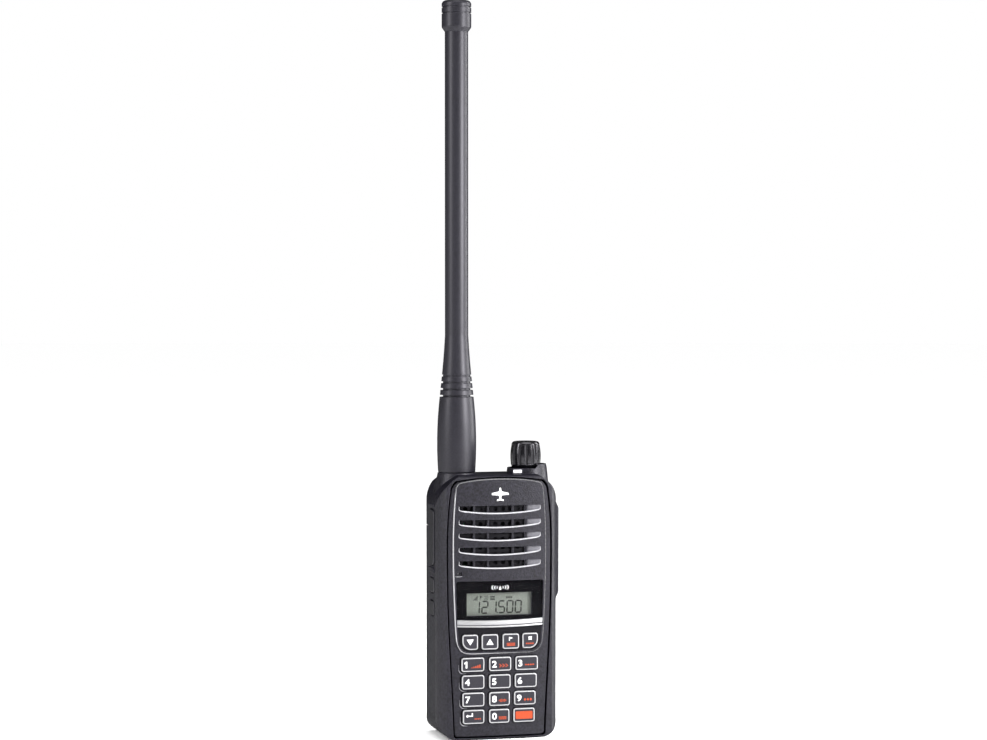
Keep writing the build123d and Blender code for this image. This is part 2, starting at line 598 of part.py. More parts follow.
# Rear case: the side frame, top and back, open in front for the front case
with BuildPart() as rear_case:
    add(envelope.part)
    with BuildSketch(Plane.XZ.offset(-SHELF_REAR_Y)):
        add(panel_outline(SHELF_WIDTH))
    extrude(amount=2, mode=Mode.SUBTRACT)
    with BuildSketch(Plane.XZ.offset(-CAVITY_REAR_Y)) as cavity:
        with Locations((0, (CAVITY_BOTTOM + CAVITY_TOP) / 2)):
            RectangleRounded(2 * CAVITY_X, CAVITY_TOP - CAVITY_BOTTOM, 7)
    extrude(amount=CAVITY_REAR_Y - SHELF_REAR_Y, mode=Mode.SUBTRACT)
    add(block((-40, 40), (BAY_WALL_Y, 20), (FOOT_TOP, BAY_TOP)), mode=Mode.SUBTRACT)
    # flared boss under the antenna
    with BuildSketch(Plane.XY.offset(FLARE_BOTTOM)):
        with Locations((ANTENNA_X, 0)):
            Circle(BOSS_FOOT_RADIUS)
    with BuildSketch(Plane.XY.offset(BOSS_TOP)):
        with Locations((ANTENNA_X, 0)):
            Circle(BOSS_RADIUS)
    loft()
    # flared cup around the knob, higher on the outer side, with the light's housing in front of it
    with BuildSketch(Plane.XY.offset(FLARE_BOTTOM)):
        with Locations((CUP_X, 0)):
            Circle(CUP_FOOT_RADIUS)
    with BuildSketch(Plane.XY.offset(CUP_LOW)):
        with Locations((CUP_X, 0)):
            Circle(CUP_RADIUS)
    loft()
    add(block(*LIGHT_HOUSING))
    with BuildSketch(Plane.XY.offset(CUP_LOW)):
        with Locations((CUP_X, 0)):
            Circle(CUP_RADIUS)
        with Locations((CUP_X - CUP_WALL_SHIFT[0], -CUP_WALL_SHIFT[1])):
            Circle(CUP_RADIUS, mode=Mode.SUBTRACT)
    extrude(amount=CUP_HIGH - CUP_LOW, taper=12)
    with BuildSketch(Plane.XY.offset(CUP_FLOOR)):
        with Locations((KNOB_X, 0)):
            Circle(CUP_BORE)
    extrude(amount=CUP_HIGH - CUP_FLOOR + 1, mode=Mode.SUBTRACT)
    # pockets for the volume control and the antenna jack, and their holes through the top
    with BuildSketch(Plane.XY.offset(CAVITY_TOP)):
        with Locations((KNOB_X, 0)):
            Circle(VOLUME_POCKET)
        with Locations((ANTENNA_X, 0)):
            Circle(ANTENNA_POCKET)
    extrude(amount=-POCKET_DEPTH, mode=Mode.SUBTRACT)
    with BuildSketch(Plane.XY.offset(CAVITY_TOP - 1)):
        with Locations((KNOB_X, 0)):
            Circle(VOLUME_BUSH + 0.05)
        with Locations((ANTENNA_X, 0)):
            Circle(BARREL_RADIUS)
    extrude(amount=5, mode=Mode.SUBTRACT)
    # room for the chassis: a neck through the back and the finned plate on the outside
    for half, room_front, room_top in ((CHASSIS_NECK, CAVITY_REAR_Y, NECK_TOP),
                                       (CHASSIS_PLATE, CHASSIS_PLATE_Y, PLATE_TOP)):
        add(block((-half - 0.1, half + 0.1), (room_front, REAR_Y + 1), (CHASSIS_LOW - 0.1, room_top + 0.1)),
            mode=Mode.SUBTRACT)
    add(block(*LENS_SPANS), mode=Mode.SUBTRACT)
    # opening for the front case, in front of the shelf
    with BuildSketch(Plane.XZ.offset(-SHELF_FRONT_Y)):
        add(panel_edge)
    extrude(amount=10, mode=Mode.SUBTRACT)
    # sockets for the battery's lugs
    for low_x, high_x in LUG_SPANS:
        with BuildSketch(Plane.YZ.offset(low_x - 0.3)):
            with Locations((SWING_Y, SWING_Z)):
                Circle(SWING_RADIUS + 0.06)
            with Locations((SWING_Y + 0.5, SWING_Z - 1.6)):
                Rectangle(3.4, 3.2)
        extrude(amount=high_x - low_x + 0.6, mode=Mode.SUBTRACT)
    # openings in the left side for the talk switch and the two side keys
    with BuildSketch(Plane.YZ.offset(-CAVITY_X + 1)):
        add(ptt_outline(SIDE_FIT))
        for centre_z in SIDE_KEY_Z:
            add(side_key_outline(centre_z, SIDE_FIT))
    extrude(amount=-6, mode=Mode.SUBTRACT)
    add(block((-CAVITY_X, -20.6), (0, 4.1), (PTT_BOTTOM - 1.3, PTT_TOP + 1.3)), mode=Mode.SUBTRACT)
    # opening in the right side for the jacks, and two eyes for the cover's pins
    add(block((20, 28), (-4.5, 2.5), (66.3, 89.7)), mode=Mode.SUBTRACT)
    for eye_bottom in (COVER_BOTTOM + 0.6, COVER_TOP - 2.4):
        with BuildSketch(Plane.XY.offset(eye_bottom)):
            with Locations((COVER_HINGE_X, COVER_HINGE_Y)):
                Circle(COVER_BARREL_RADIUS)
            with Locations((COVER_HINGE_X - 0.9, COVER_HINGE_Y)):
                Rectangle(1.8, 2 * COVER_BARREL_RADIUS)
            with Locations((COVER_HINGE_X, COVER_HINGE_Y)):
                Circle(COVER_PIN_RADIUS + 0.05, mode=Mode.SUBTRACT)
        extrude(amount=1.8)
    # raised ridge above and bulge below the talk switch
    for ridge_z, ridge_height in ((PTT_TOP + 1.6, 1.8), (PTT_BOTTOM - 1.9, 2.6)):
        with BuildSketch(Plane.YZ.offset(-SIDE_X + 0.6)):
            with Locations((-1.5, ridge_z)):
                RectangleRounded(9.6, ridge_height, 0.85)
        extrude(amount=-1.1, taper=20)
    # ribs on the battery bay's wall that steady the pack
    for rib_x, rib_low, rib_high in BAY_RIBS:
        add(block((rib_x - 0.6, rib_x + 0.6), (BAY_WALL_Y - 0.1, BATTERY_FRONT_Y - 0.05), (rib_low, rib_high)))
    for contact_x in TERMINAL_XS:
        add(block((contact_x - 1, contact_x + 1), (CAVITY_REAR_Y - 1, BAY_WALL_Y + 1), TERMINAL_Z),
            mode=Mode.SUBTRACT)
    add(screw_cuts(SCREW_RADIUS + 0.15, -9, 6), mode=Mode.SUBTRACT)
    add(screw_cuts(SCREW_HEAD_RADIUS + 0.15, SCREW_SEAT_Y, 16), mode=Mode.SUBTRACT)
    add(block((-5.1, 5.1), (8.0, 14.4), (FOOT_TOP - 0.4, FOOT_TOP + 0.1)), mode=Mode.SUBTRACT)
save(rear_case.part, "rear_case")


# Seal between the two halves of the case
with BuildPart() as main_gasket:
    with BuildSketch(Plane.XZ.offset(-SHELF_FRONT_Y)):
        add(panel_outline(0.6))
        add(panel_outline(1.9), mode=Mode.SUBTRACT)
    extrude(amount=SHELF_FRONT_Y - SKIRT_REAR_Y)
    add(screw_cuts(SCREW_RADIUS + 0.1, SKIRT_REAR_Y - 1, SHELF_REAR_Y), mode=Mode.SUBTRACT)
save(main_gasket.part, "main_gasket")


# Cast chassis: a plate inside, a neck through the back, and a finned plate outside with two tapped holes
with BuildPart() as chassis:
    add(block((-16.4, 16.4), (0.8, 2.8), (6.5, NECK_TOP)))
    add(block((11.6, 17), (0, 3), (66.2, 89.8)), mode=Mode.SUBTRACT)
    add(block((-CHASSIS_NECK, CHASSIS_NECK), (2.8, CHASSIS_PLATE_Y), (CHASSIS_LOW, NECK_TOP)))
    add(block((-CHASSIS_PLATE, CHASSIS_PLATE), (CHASSIS_PLATE_Y, REAR_Y - 0.25), (CHASSIS_LOW, PLATE_TOP)))
    for fin_z in FIN_GROOVES:
        add(block((-CHASSIS_PLATE, CHASSIS_PLATE), (REAR_Y - 1.6, REAR_Y), (fin_z - 0.5, fin_z + 0.5)),
            mode=Mode.SUBTRACT)
    with BuildSketch(Plane.XZ.offset(-REAR_Y)):
        with Locations((-CLIP_SPACING / 2, CLIP_Z), (CLIP_SPACING / 2, CLIP_Z)):
            Circle(CLIP_SCREW_RADIUS)
    extrude(amount=5.2, mode=Mode.SUBTRACT)
save(chassis.part, "chassis")


# Main board with its two shielded blocks
with BuildPart() as main_board:
    add(block((-20.2, 20.2), (-5.8, -4.6), (7, 91)))
    add(block((-15, 6), (-4.6, -2.6), (12, 34)))
    add(block((-14, 8), (-4.6, -2.6), (40, 62)))
save(main_board.part, "main_board")


# Switches behind the talk switch and the side keys
with BuildPart() as side_switches:
    add(block((-20.9, -20.5), (-4.2, 1.6), (50.5, 92)))
    for switch_z in ((PTT_BOTTOM + PTT_TOP) / 2, *SIDE_KEY_Z):
        add(block((-21.3, -20.9), (-3.0, 0.2), (switch_z - 1.6, switch_z + 1.6)))
save(side_switches.part, "side_switches")


# Talk switch and side keys: a proud cap, and a flange inside the wall
with BuildPart() as ptt_button:
    with BuildSketch(Plane.YZ.offset(-CAVITY_X + 0.2)):
        add(ptt_outline(0))
    extrude(amount=-(SIDE_X + PTT_PROUD - CAVITY_X + 0.2))
    fillet(ptt_button.faces().sort_by(Axis.X)[0].edges(), SIDE_EDGE)
    with BuildSketch(Plane.YZ.offset(-CAVITY_X + 0.9)):
        add(ptt_outline(0.8))
    extrude(amount=-0.7)
save(ptt_button.part, "ptt_button")

for name, centre_z in zip(("side_key_upper", "side_key_lower"), SIDE_KEY_Z):
    with BuildPart() as side_key:
        with BuildSketch(Plane.YZ.offset(-CAVITY_X + 0.2)):
            add(side_key_outline(centre_z, 0))
        extrude(amount=-(SIDE_X + SIDE_KEY_PROUD - CAVITY_X + 0.2))
        fillet(side_key.faces().sort_by(Axis.X)[0].edges(), SIDE_EDGE)
        with BuildSketch(Plane.YZ.offset(-CAVITY_X + 0.8)):
            add(side_key_outline(centre_z, 0.5))
        extrude(amount=-0.6)
    save(side_key.part, name)


# Volume control, its shaft and its fluted knob
knob_plane = Plane(origin=(KNOB_X, 0, 0), x_dir=(1, 0, 0), z_dir=(0, -1, 0))
knob_axis = Axis((KNOB_X, 0, 0), (0, 0, 1))
with BuildPart() as volume_control:
    with BuildSketch(knob_plane):
        with BuildLine():
            Polyline((0, 98), (4.6, 98), (4.6, CAVITY_TOP - 0.1), (VOLUME_BUSH, CAVITY_TOP - 0.1),
                     (VOLUME_BUSH, CUP_FLOOR - 0.4), (KNOB_SHAFT_RADIUS + KNOB_SHAFT_FIT, CUP_FLOOR - 0.4),
                     (KNOB_SHAFT_RADIUS + KNOB_SHAFT_FIT, 99.2), (0, 99.2), close=True)
        make_face()
    revolve(axis=knob_axis)
save(volume_control.part, "volume_control")

with BuildPart() as volume_shaft:
    with BuildSketch(Plane.XY.offset(99.5)):
        with Locations((KNOB_X, 0)):
            Circle(KNOB_SHAFT_RADIUS)
    extrude(amount=20)
save(volume_shaft.part, "volume_shaft")

with BuildPart() as volume_knob:
    with BuildSketch(knob_plane):
        with BuildLine():
            foot = Line((KNOB_SHAFT_RADIUS, KNOB_BOTTOM), (5.2, KNOB_BOTTOM))
            lower = ThreePointArc(foot @ 1, (6.0, KNOB_BOTTOM + 0.9), (6.3, KNOB_BOTTOM + 2.4))
            side = ThreePointArc(lower @ 1, (KNOB_RADIUS, 117.8), (5.95, 122.0))
            rim = ThreePointArc(side @ 1, (5.3, KNOB_TOP - 0.2), (4.3, KNOB_TOP))
            dish = Line(rim @ 1, (2.8, KNOB_TOP - 0.7))
            Polyline(dish @ 1, (0, KNOB_TOP - 0.7), (0, 119.5), (KNOB_SHAFT_RADIUS, 119.5), foot @ 0)
        make_face()
    revolve(axis=knob_axis)
    with BuildSketch(Plane.XY.offset(KNOB_BOTTOM + 1.6)):
        with Locations((KNOB_X, 0)):
            with PolarLocations(KNOB_RADIUS + 0.22, FLUTES):
                Circle(0.85)
    extrude(amount=12, mode=Mode.SUBTRACT)
save(volume_knob.part, "volume_knob")

with BuildPart() as status_lens:
    add(block(*LENS_SPANS))
save(status_lens.part, "status_lens")


# Antenna jack: bayonet barrel with two lugs, its insulator, contact and nut
antenna_plane = Plane(origin=(ANTENNA_X, 0, 0), x_dir=(1, 0, 0), z_dir=(0, -1, 0))
antenna_axis = Axis((ANTENNA_X, 0, 0), (0, 0, 1))
with BuildPart() as antenna_jack:
    with BuildSketch(antenna_plane):
        with BuildLine():
            Polyline((BARREL_BORE, JACK_BOTTOM), (BARREL_RADIUS, JACK_BOTTOM), (BARREL_RADIUS, COLLAR_Z),
                     (COLLAR_RADIUS, COLLAR_Z), (COLLAR_RADIUS, CAVITY_TOP), (BARREL_RADIUS, CAVITY_TOP),
                     (BARREL_RADIUS, JACK_TOP), (BARREL_BORE, JACK_TOP), close=True)
        make_face()
    revolve(axis=antenna_axis)
    with BuildSketch(Plane.XZ):
        with Locations((ANTENNA_X, LUG_Z)):
            Circle(LUG_RADIUS)
    extrude(amount=LUG_REACH, both=True)
    with BuildSketch(Plane.XY.offset(110)):
        with Locations((ANTENNA_X, 0)):
            Circle(BARREL_BORE)
    extrude(amount=12, mode=Mode.SUBTRACT)
save(antenna_jack.part, "antenna_jack")

with BuildPart() as jack_insulator:
    with BuildSketch(Plane.XY.offset(103)):
        with Locations((ANTENNA_X, 0)):
            Circle(BARREL_BORE)
            Circle(CONTACT_RADIUS, mode=Mode.SUBTRACT)
    extrude(amount=15)
save(jack_insulator.part, "jack_insulator")

with BuildPart() as jack_contact:
    with BuildSketch(Plane.XY.offset(99)):
        with Locations((ANTENNA_X, 0)):
            Circle(CONTACT_RADIUS)
            Circle(PIN_RADIUS + 0.07, mode=Mode.SUBTRACT)
    extrude(amount=18.5)
save(jack_contact.part, "jack_contact")

with BuildPart() as jack_nut:
    with BuildSketch(Plane.XY.offset(103.9)):
        with Locations((ANTENNA_X, 0)):
            RegularPolygon(6.1, 6)
            Circle(BARREL_RADIUS, mode=Mode.SUBTRACT)
    extrude(amount=2.3)
save(jack_nut.part, "jack_nut")


# Antenna: centre pin, bayonet coupling with two curved slots, coil, rubber sheath and end cap
with BuildPart() as antenna_pin:
    with BuildSketch(Plane.XY.offset(107)):
        with Locations((ANTENNA_X, 0)):
            Circle(PIN_RADIUS)
    extrude(amount=21)
save(antenna_pin.part, "antenna_pin")

with BuildPart() as antenna_coupling:
    with BuildSketch(Plane.XY.offset(BOOT_BOTTOM + 0.4)):
        with Locations((ANTENNA_X, 0)):
            Circle(SLEEVE_RADIUS)
    extrude(amount=14.6)
    with BuildSketch(Plane.XY.offset(BOOT_BOTTOM)):
        with Locations((ANTENNA_X, 0)):
            Circle(SLEEVE_BORE)
    extrude(amount=13, mode=Mode.SUBTRACT)
    with BuildSketch(Plane.XY.offset(BOOT_BOTTOM)):
        with Locations((ANTENNA_X, 0)):
            Circle(1.0)
    extrude(amount=16, mode=Mode.SUBTRACT)
    # each slot climbs from its mouth at the sleeve's foot to the seat that holds a lug
    slot_steps = 14
    for side in (0, 180):
        for step in range(slot_steps + 1):
            turned = BAYONET_TURN * step / slot_steps
            sunk = BAYONET_RISE * step / slot_steps
            along = radians(side - 90 - turned)
            plane = Plane(origin=(ANTENNA_X, 0, LUG_Z - sunk), z_dir=(cos(along), sin(along), 0))
            with BuildSketch(plane):
                Circle(LUG_RADIUS + 0.25)
            extrude(amount=LUG_REACH + 0.2, mode=Mode.SUBTRACT)
    with BuildSketch(Plane.XY.offset(BOOT_BOTTOM)):
        with Locations((ANTENNA_X, 0)):
            Rectangle(2 * LUG_REACH + 0.4, 2 * LUG_RADIUS + 0.5)
    extrude(amount=LUG_Z - BAYONET_RISE - BOOT_BOTTOM, mode=Mode.SUBTRACT)
save(antenna_coupling.part, "antenna_coupling")

with BuildPart() as antenna_coil:
    with BuildLine():
        turns = Helix(pitch=15, height=150, radius=COIL_RADIUS, center=(ANTENNA_X, 0, 132))
    with BuildSketch(Plane(origin=turns @ 0, z_dir=turns % 0)):
        Circle(WIRE_RADIUS)
    sweep()
save(antenna_coil.part, "antenna_coil")

with BuildPart() as antenna_sheath:
    with BuildSketch(antenna_plane):
        with BuildLine():
            foot = Line((SLEEVE_RADIUS, BOOT_BOTTOM), (7.45, BOOT_BOTTOM))
            lip = ThreePointArc(foot @ 1, (7.75, BOOT_BOTTOM + 0.12), (7.87, BOOT_BOTTOM + 0.42))
            boot = Spline(lip @ 1, (8.15, 128.5), (7.15, 142.4))
            ringed = Line(boot @ 1, (6.15, 152))
            taper = Spline(ringed @ 1, (5.4, 160.5), (SHAFT_RADIUS, 168.5))
            shaft = Line(taper @ 1, (SHAFT_RADIUS, SHAFT_TOP))
            Polyline(shaft @ 1, (CAP_STEM, SHAFT_TOP), (CAP_STEM, 288), (COIL_ROOM, 286),
                     (COIL_ROOM, SLEEVE_TOP), (SLEEVE_RADIUS, SLEEVE_TOP), foot @ 0)
        make_face()
    revolve(axis=antenna_axis)
    for groove_z in BOOT_GROOVES:
        with BuildSketch(antenna_plane):
            with Locations((6.85, groove_z)):
                Rectangle(2.2, 0.9)
        revolve(axis=antenna_axis, mode=Mode.SUBTRACT)
save(antenna_sheath.part, "antenna_sheath")

with BuildPart() as antenna_cap:
    with BuildSketch(antenna_plane):
        with BuildLine():
            Polyline((0, CAP_STEM_BOTTOM), (CAP_STEM, CAP_STEM_BOTTOM), (CAP_STEM, SHAFT_TOP),
                     (SHAFT_RADIUS, SHAFT_TOP), (CAP_RADIUS - 0.1, SHAFT_TOP + 1.7),
                     (CAP_RADIUS, SHAFT_TOP + 2.2), (CAP_RADIUS, ANTENNA_TOP - 1.6))
            ThreePointArc((CAP_RADIUS, ANTENNA_TOP - 1.6), (5.6, ANTENNA_TOP - 0.4), (4.6, ANTENNA_TOP))
            Polyline((4.6, ANTENNA_TOP), (0, ANTENNA_TOP), (0, CAP_STEM_BOTTOM))
        make_face()
    revolve(axis=antenna_axis)
    for groove_z in CAP_GROOVES:
        with BuildSketch(antenna_plane):
            with Locations((CAP_RADIUS, groove_z)):
                Rectangle(0.8, 0.6)
        revolve(axis=antenna_axis, mode=Mode.SUBTRACT)
save(antenna_cap.part, "antenna_cap")


# Accessory jacks behind the cover, and the cover on its hinge pins
with BuildPart() as accessory_jacks:
    add(block((12.1, JACK_FACE_X), (-4.4, 2.4), (66.5, 89.5)))
    for jack_z, jack_radius in zip(JACK_Z, JACK_RADIUS):
        with BuildSketch(Plane.YZ.offset(JACK_FACE_X)):
            with Locations((JACK_Y, jack_z)):
                Circle(jack_radius)
        extrude(amount=-JACK_DEPTH, mode=Mode.SUBTRACT)
save(accessory_jacks.part, "accessory_jacks")

with BuildPart() as jack_cover:
    with BuildSketch(Plane.XZ.offset(-COVER_HINGE_Y + 1.3)):
        with BuildLine():
            Polyline((SIDE_X + 0.3, COVER_BOTTOM), (SIDE_X + COVER_PROUD, COVER_BOTTOM + 3.3),
                     (SIDE_X + COVER_PROUD, COVER_TOP - 3.3), (SIDE_X + 0.3, COVER_TOP), close=True)
        make_face()
    extrude(amount=COVER_HINGE_Y - 1.3 - COVER_FRONT_Y)
    fillet(jack_cover.edges().group_by(Axis.Y)[0].sort_by(Axis.X)[-1], 0.6)
    add(block((SIDE_X + 0.35, SIDE_X + COVER_PROUD), (COVER_HINGE_Y - 1.3, COVER_HINGE_Y),
              (COVER_BOTTOM + 2.8, COVER_TOP - 2.8)))
    with BuildSketch(Plane.XY.offset(COVER_BOTTOM + 2.8)):
        with Locations((COVER_HINGE_X, COVER_HINGE_Y)):
            Circle(COVER_BARREL_RADIUS)
    extrude(amount=COVER_TOP - COVER_BOTTOM - 5.6)
    with BuildSketch(Plane.XY.offset(COVER_BOTTOM + 0.8)):
        with Locations((COVER_HINGE_X, COVER_HINGE_Y)):
            Circle(COVER_PIN_RADIUS)
    extrude(amount=COVER_TOP - COVER_BOTTOM - 1.6)
save(jack_cover.part, "jack_cover")


# Battery pack: shell with two lugs, inner lid, cells, contacts and latch
with BuildPart() as battery_case:
    add(envelope.part)
    add(block((-40, 40), (BATTERY_FRONT_Y, 20), (BATTERY_BOTTOM, BATTERY_TOP)), mode=Mode.INTERSECT)
    with BuildSketch(Plane.YZ):
        with BuildLine():
            Polyline((SWING_Y, BATTERY_TOP), (REAR_Y + 1, BATTERY_TOP - BATTERY_SLOPE),
                     (REAR_Y + 1, BATTERY_TOP + 1), (SWING_Y, BATTERY_TOP + 1), close=True)
        make_face()
    extrude(amount=40, both=True, mode=Mode.SUBTRACT)
    with BuildSketch(Plane.XY.offset(4.3)):
        with BuildLine():
            Polyline((-24.2, 5), (24.2, 5), (24.2, 9), (20.8, 13.5), (-20.8, 13.5), (-24.2, 9), close=True)
        make_face()
    extrude(amount=79.9, mode=Mode.SUBTRACT)
    add(block((-7, 7), (13, 16), (LATCH_Z[0] - 0.3, LATCH_Z[1] + LATCH_TRAVEL + 0.3)), mode=Mode.SUBTRACT)
    add(block((-4.4, 4.4), (11.9, 14.4), (2, 4.4)), mode=Mode.SUBTRACT)
    for low_x, high_x in LUG_SPANS:
        with BuildSketch(Plane.YZ.offset(low_x)):
            with Locations((SWING_Y, SWING_Z)):
                Circle(SWING_RADIUS)
            with Locations((SWING_Y, SWING_Z - 1.4)):
                Rectangle(1.8, 2.8)
        extrude(amount=high_x - low_x)
save(battery_case.part, "battery_case")

with BuildPart() as battery_lid:
    add(block((-24.1, 24.1), (BATTERY_FRONT_Y, 7.2), (4.4, 84.1)))
    for contact_x in TERMINAL_XS:
        add(block((contact_x - CONTACT_HALF, contact_x + CONTACT_HALF), (5, CONTACT_REAR_Y), CONTACT_Z),
            mode=Mode.SUBTRACT)
save(battery_lid.part, "battery_lid")

with BuildPart() as battery_contacts:
    for contact_x in TERMINAL_XS:
        add(block((contact_x - CONTACT_HALF, contact_x + CONTACT_HALF),
                  (BATTERY_FRONT_Y + 0.1, CONTACT_REAR_Y), CONTACT_Z))
save(battery_contacts.part, "battery_contacts")

with BuildPart() as battery_cells:
    for cell_x in (-11.1, 11.1):
        add(block((cell_x - 10.5, cell_x + 10.5), (7.3, 12.0), (10, 82)))
save(battery_cells.part, "battery_cells")

with BuildPart() as battery_latch:
    add(block((-6.7, 6.7), (13.3, REAR_Y - 0.15), LATCH_Z))
    add(block((-8.4, 8.4), (12.3, 13.3), (LATCH_Z[0] - 0.7, LATCH_Z[1] + 1.3)))
    add(block((-4, 4), (12.3, 13.3), (3.0, LATCH_Z[0] - 0.7)))
    for ridge_z in (6.6, 8.2, 9.8):
        add(block((-7, 7), (REAR_Y - 0.5, REAR_Y), (ridge_z - 0.25, ridge_z + 0.25)), mode=Mode.SUBTRACT)
save(battery_latch.part, "battery_latch")

with BuildPart() as battery_terminals:
    for contact_x in TERMINAL_XS:
        add(block((contact_x - 0.95, contact_x + 0.95), (CAVITY_REAR_Y, BATTERY_FRONT_Y - 0.15),
                  (TERMINAL_Z[0] + 0.05, TERMINAL_Z[1] - 0.05)))
save(battery_terminals.part, "battery_terminals")

with BuildPart() as latch_spring:
    add(block((-5, 5), (8.1, 14.3), (FOOT_TOP - 0.4, FOOT_TOP - 0.05)))
    add(block((-3, 3), (13.5, 14.3), (FOOT_TOP - 0.05, 3.6)))
save(latch_spring.part, "latch_spring")


# Case screws, put in from the back
with BuildPart() as case_screws:
    add(screw_cuts(SCREW_RADIUS, SCREW_TIP_Y, SCREW_SEAT_Y))
    add(screw_cuts(SCREW_HEAD_RADIUS, SCREW_SEAT_Y, SCREW_SEAT_Y + 1.3))
    add(screw_cuts(0.6, SCREW_SEAT_Y + 0.5, SCREW_SEAT_Y + 2), mode=Mode.SUBTRACT)
save(case_screws.part, "case_screws")
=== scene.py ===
import json
import math

import bmesh
import bpy
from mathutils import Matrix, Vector


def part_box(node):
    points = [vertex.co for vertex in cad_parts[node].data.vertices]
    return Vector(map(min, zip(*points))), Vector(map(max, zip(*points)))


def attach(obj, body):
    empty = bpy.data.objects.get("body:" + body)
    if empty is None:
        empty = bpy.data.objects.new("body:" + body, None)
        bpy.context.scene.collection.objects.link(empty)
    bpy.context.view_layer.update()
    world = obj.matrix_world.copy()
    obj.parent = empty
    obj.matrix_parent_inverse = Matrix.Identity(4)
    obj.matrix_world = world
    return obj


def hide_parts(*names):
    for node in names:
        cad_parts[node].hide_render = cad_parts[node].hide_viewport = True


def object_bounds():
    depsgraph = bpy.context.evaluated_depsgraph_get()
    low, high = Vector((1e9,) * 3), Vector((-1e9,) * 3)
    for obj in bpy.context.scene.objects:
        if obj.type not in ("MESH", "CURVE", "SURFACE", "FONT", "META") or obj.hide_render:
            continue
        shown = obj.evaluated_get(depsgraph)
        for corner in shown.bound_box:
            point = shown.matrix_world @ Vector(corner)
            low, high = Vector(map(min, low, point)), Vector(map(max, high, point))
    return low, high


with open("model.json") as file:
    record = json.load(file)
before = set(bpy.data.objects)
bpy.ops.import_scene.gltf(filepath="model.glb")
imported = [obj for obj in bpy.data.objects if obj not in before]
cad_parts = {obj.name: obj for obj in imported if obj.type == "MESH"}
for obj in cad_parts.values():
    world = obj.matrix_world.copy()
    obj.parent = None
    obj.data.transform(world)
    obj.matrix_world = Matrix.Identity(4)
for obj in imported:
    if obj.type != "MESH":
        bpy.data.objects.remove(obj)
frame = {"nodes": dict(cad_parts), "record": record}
CAD_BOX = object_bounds()
NODES = frame["nodes"]

# Lengths below are in millimetres, unless a comment says otherwise. A box is left, right, bottom and top.
MM = 0.001

# The case's curved front: its foremost y, its radius, and the step back to the panel around the number keys
CASE_FRONT = -15.15
CASE_RADIUS = 224.0
PANEL_STEP = 0.5

# Meshes: steps of a quarter turn, least corner radius, and least angle of a sharp edge in degrees
ARC_STEPS = 8
LEAST_ROUNDING = 0.02
SHARP_ANGLE = 40

# Print: how far it stands proud of its surface, and a y in front of the radio to look for a surface from
PRINT_PROUD = 0.03
RAY_START_Y = -100

# Keys: how far their cap's rounding reaches back, with a little slack, their corners, and their rim's section
KEY_FILLET = 0.3
KEY_SLACK = 0.05
KEY_ROUNDING = 1.1
BIG_ROUNDING = 3.6
SMALL_CORNERS = (KEY_ROUNDING,) * 4
RING_PROFILE = ((-0.02, 0.34), (0.06, 0.08), (0.24, -0.05), (0.52, -0.05), (0.52, 0.1), (0.3, 0.34))

# Digits: the insets are from the key's left edge, DIGIT_BREADTH stretches the letter shapes, ONE_BREADTH is a
# share of the height, and the swell and depth are in the letter shapes' own units
DIGIT_HEIGHT = 2.75
DIGIT_INSET = 1.3
DIGIT_BREADTH = 1.1
ONE_INSET = 1.1
ONE_BREADTH = 0.8
LETTER_SWELL = 0.022
LETTER_DEPTH = 0.5

# Marks on the number keys and the enter key, from the key's sides and its middle height
MARK_HEIGHT = 1.35
MARK_LEFT = 4.2
MARK_RIGHT = 1.4
ENTER_ARROW_BOX = (1.3, 4.3, -0.3, 1.6)
ENTER_MARK_LEFT = 5.0
ENTER_MARK_LEVELS = (-1.5, -0.2)

# The function key's block, from its edges, and the marks of the four top keys, from their middles
BLOCK_INSET = 1.0
BLOCK_INSET_Z = 1.35
BLOCK_ROUNDING = 0.5
ARROW_BOX = (-1.5, 1.5, -1.2, 1.2)
SIGN_BOX = (-0.8, 0.8, 0.2, 1.8)
TOP_MARK_BOX = (-1.8, 1.8, -1.9, -0.5)

# Speaker slots: upper edges, half width, and how far the lower edge is below them at the ends and the middle
SLOT_TOPS = (97.7, 91.85, 86.35, 80.4, 74.8)
SLOT_HALF = 17.4
SLOT_END_DROP = 1.85
SLOT_MIDDLE_DROP = 3.15

# A section's points are across its path and back from the front. Tapered ends thin out to this share of it.
TAPER_TIP = 0.25

# Slot lips: the gap above their upturned ends, and the heights of the ends' points as shares of the rise
LIP_STEPS = 48
LIP_TAPER = 6
LIP_END_GAP = 0.15
LIP_END_SHARES = (1, 0.7, 0.4, 0.15)
LIP_PROFILE = ((-0.46, 0.05), (-0.38, -0.09), (-0.12, -0.15), (0.06, -0.04), (0.14, 0.25), (0.1, 0.9),
               (-0.3, 0.9))

# Slot ramps: length, depths at their inner and outer ends, and how they meet the slot's edges
RAMP_LENGTH = 6.5
RAMP_DEEP = 1.95
RAMP_SHALLOW = 0.2
RAMP_OVERLAP = 0.1
RAMP_HEADROOM = 0.05
RAMP_TOE = 0.02

# Microphone slot: its ends and its lower edge
MIC_SLOT = (-19.2, -16.2)
MIC_SLOT_Z = 68.5
MIC_STEPS = 6
MIC_TAPER = 2

# Shield rim: right half of its outline from the bottom to the top, its section, and where its painted
# highlight turns from bright to dim, across and up the panel
SHIELD_HALF = ((0, 36.0), (6, 36.0), (12.6, 36.0), (15.4, 36.5), (17.4, 38.2), (18.5, 41.6), (19.2, 52),
               (19.8, 70), (19.8, 88), (18.9, 103), (18.2, 106), (16.2, 107.4), (8.2, 108.5), (0, 108.8))
RIM_PROFILE = ((0.24, 0.02), (0.12, -0.05), (0.0, 0.0), (-0.14, 0.2), (-0.2, 0.42), (-0.2, 0.62),
               (0.24, 0.62))
RIM_HIGHLIGHT_FADE_X = (-14.0, 9.0)
RIM_HIGHLIGHT_FADE_Z = (100.0, 105.5)
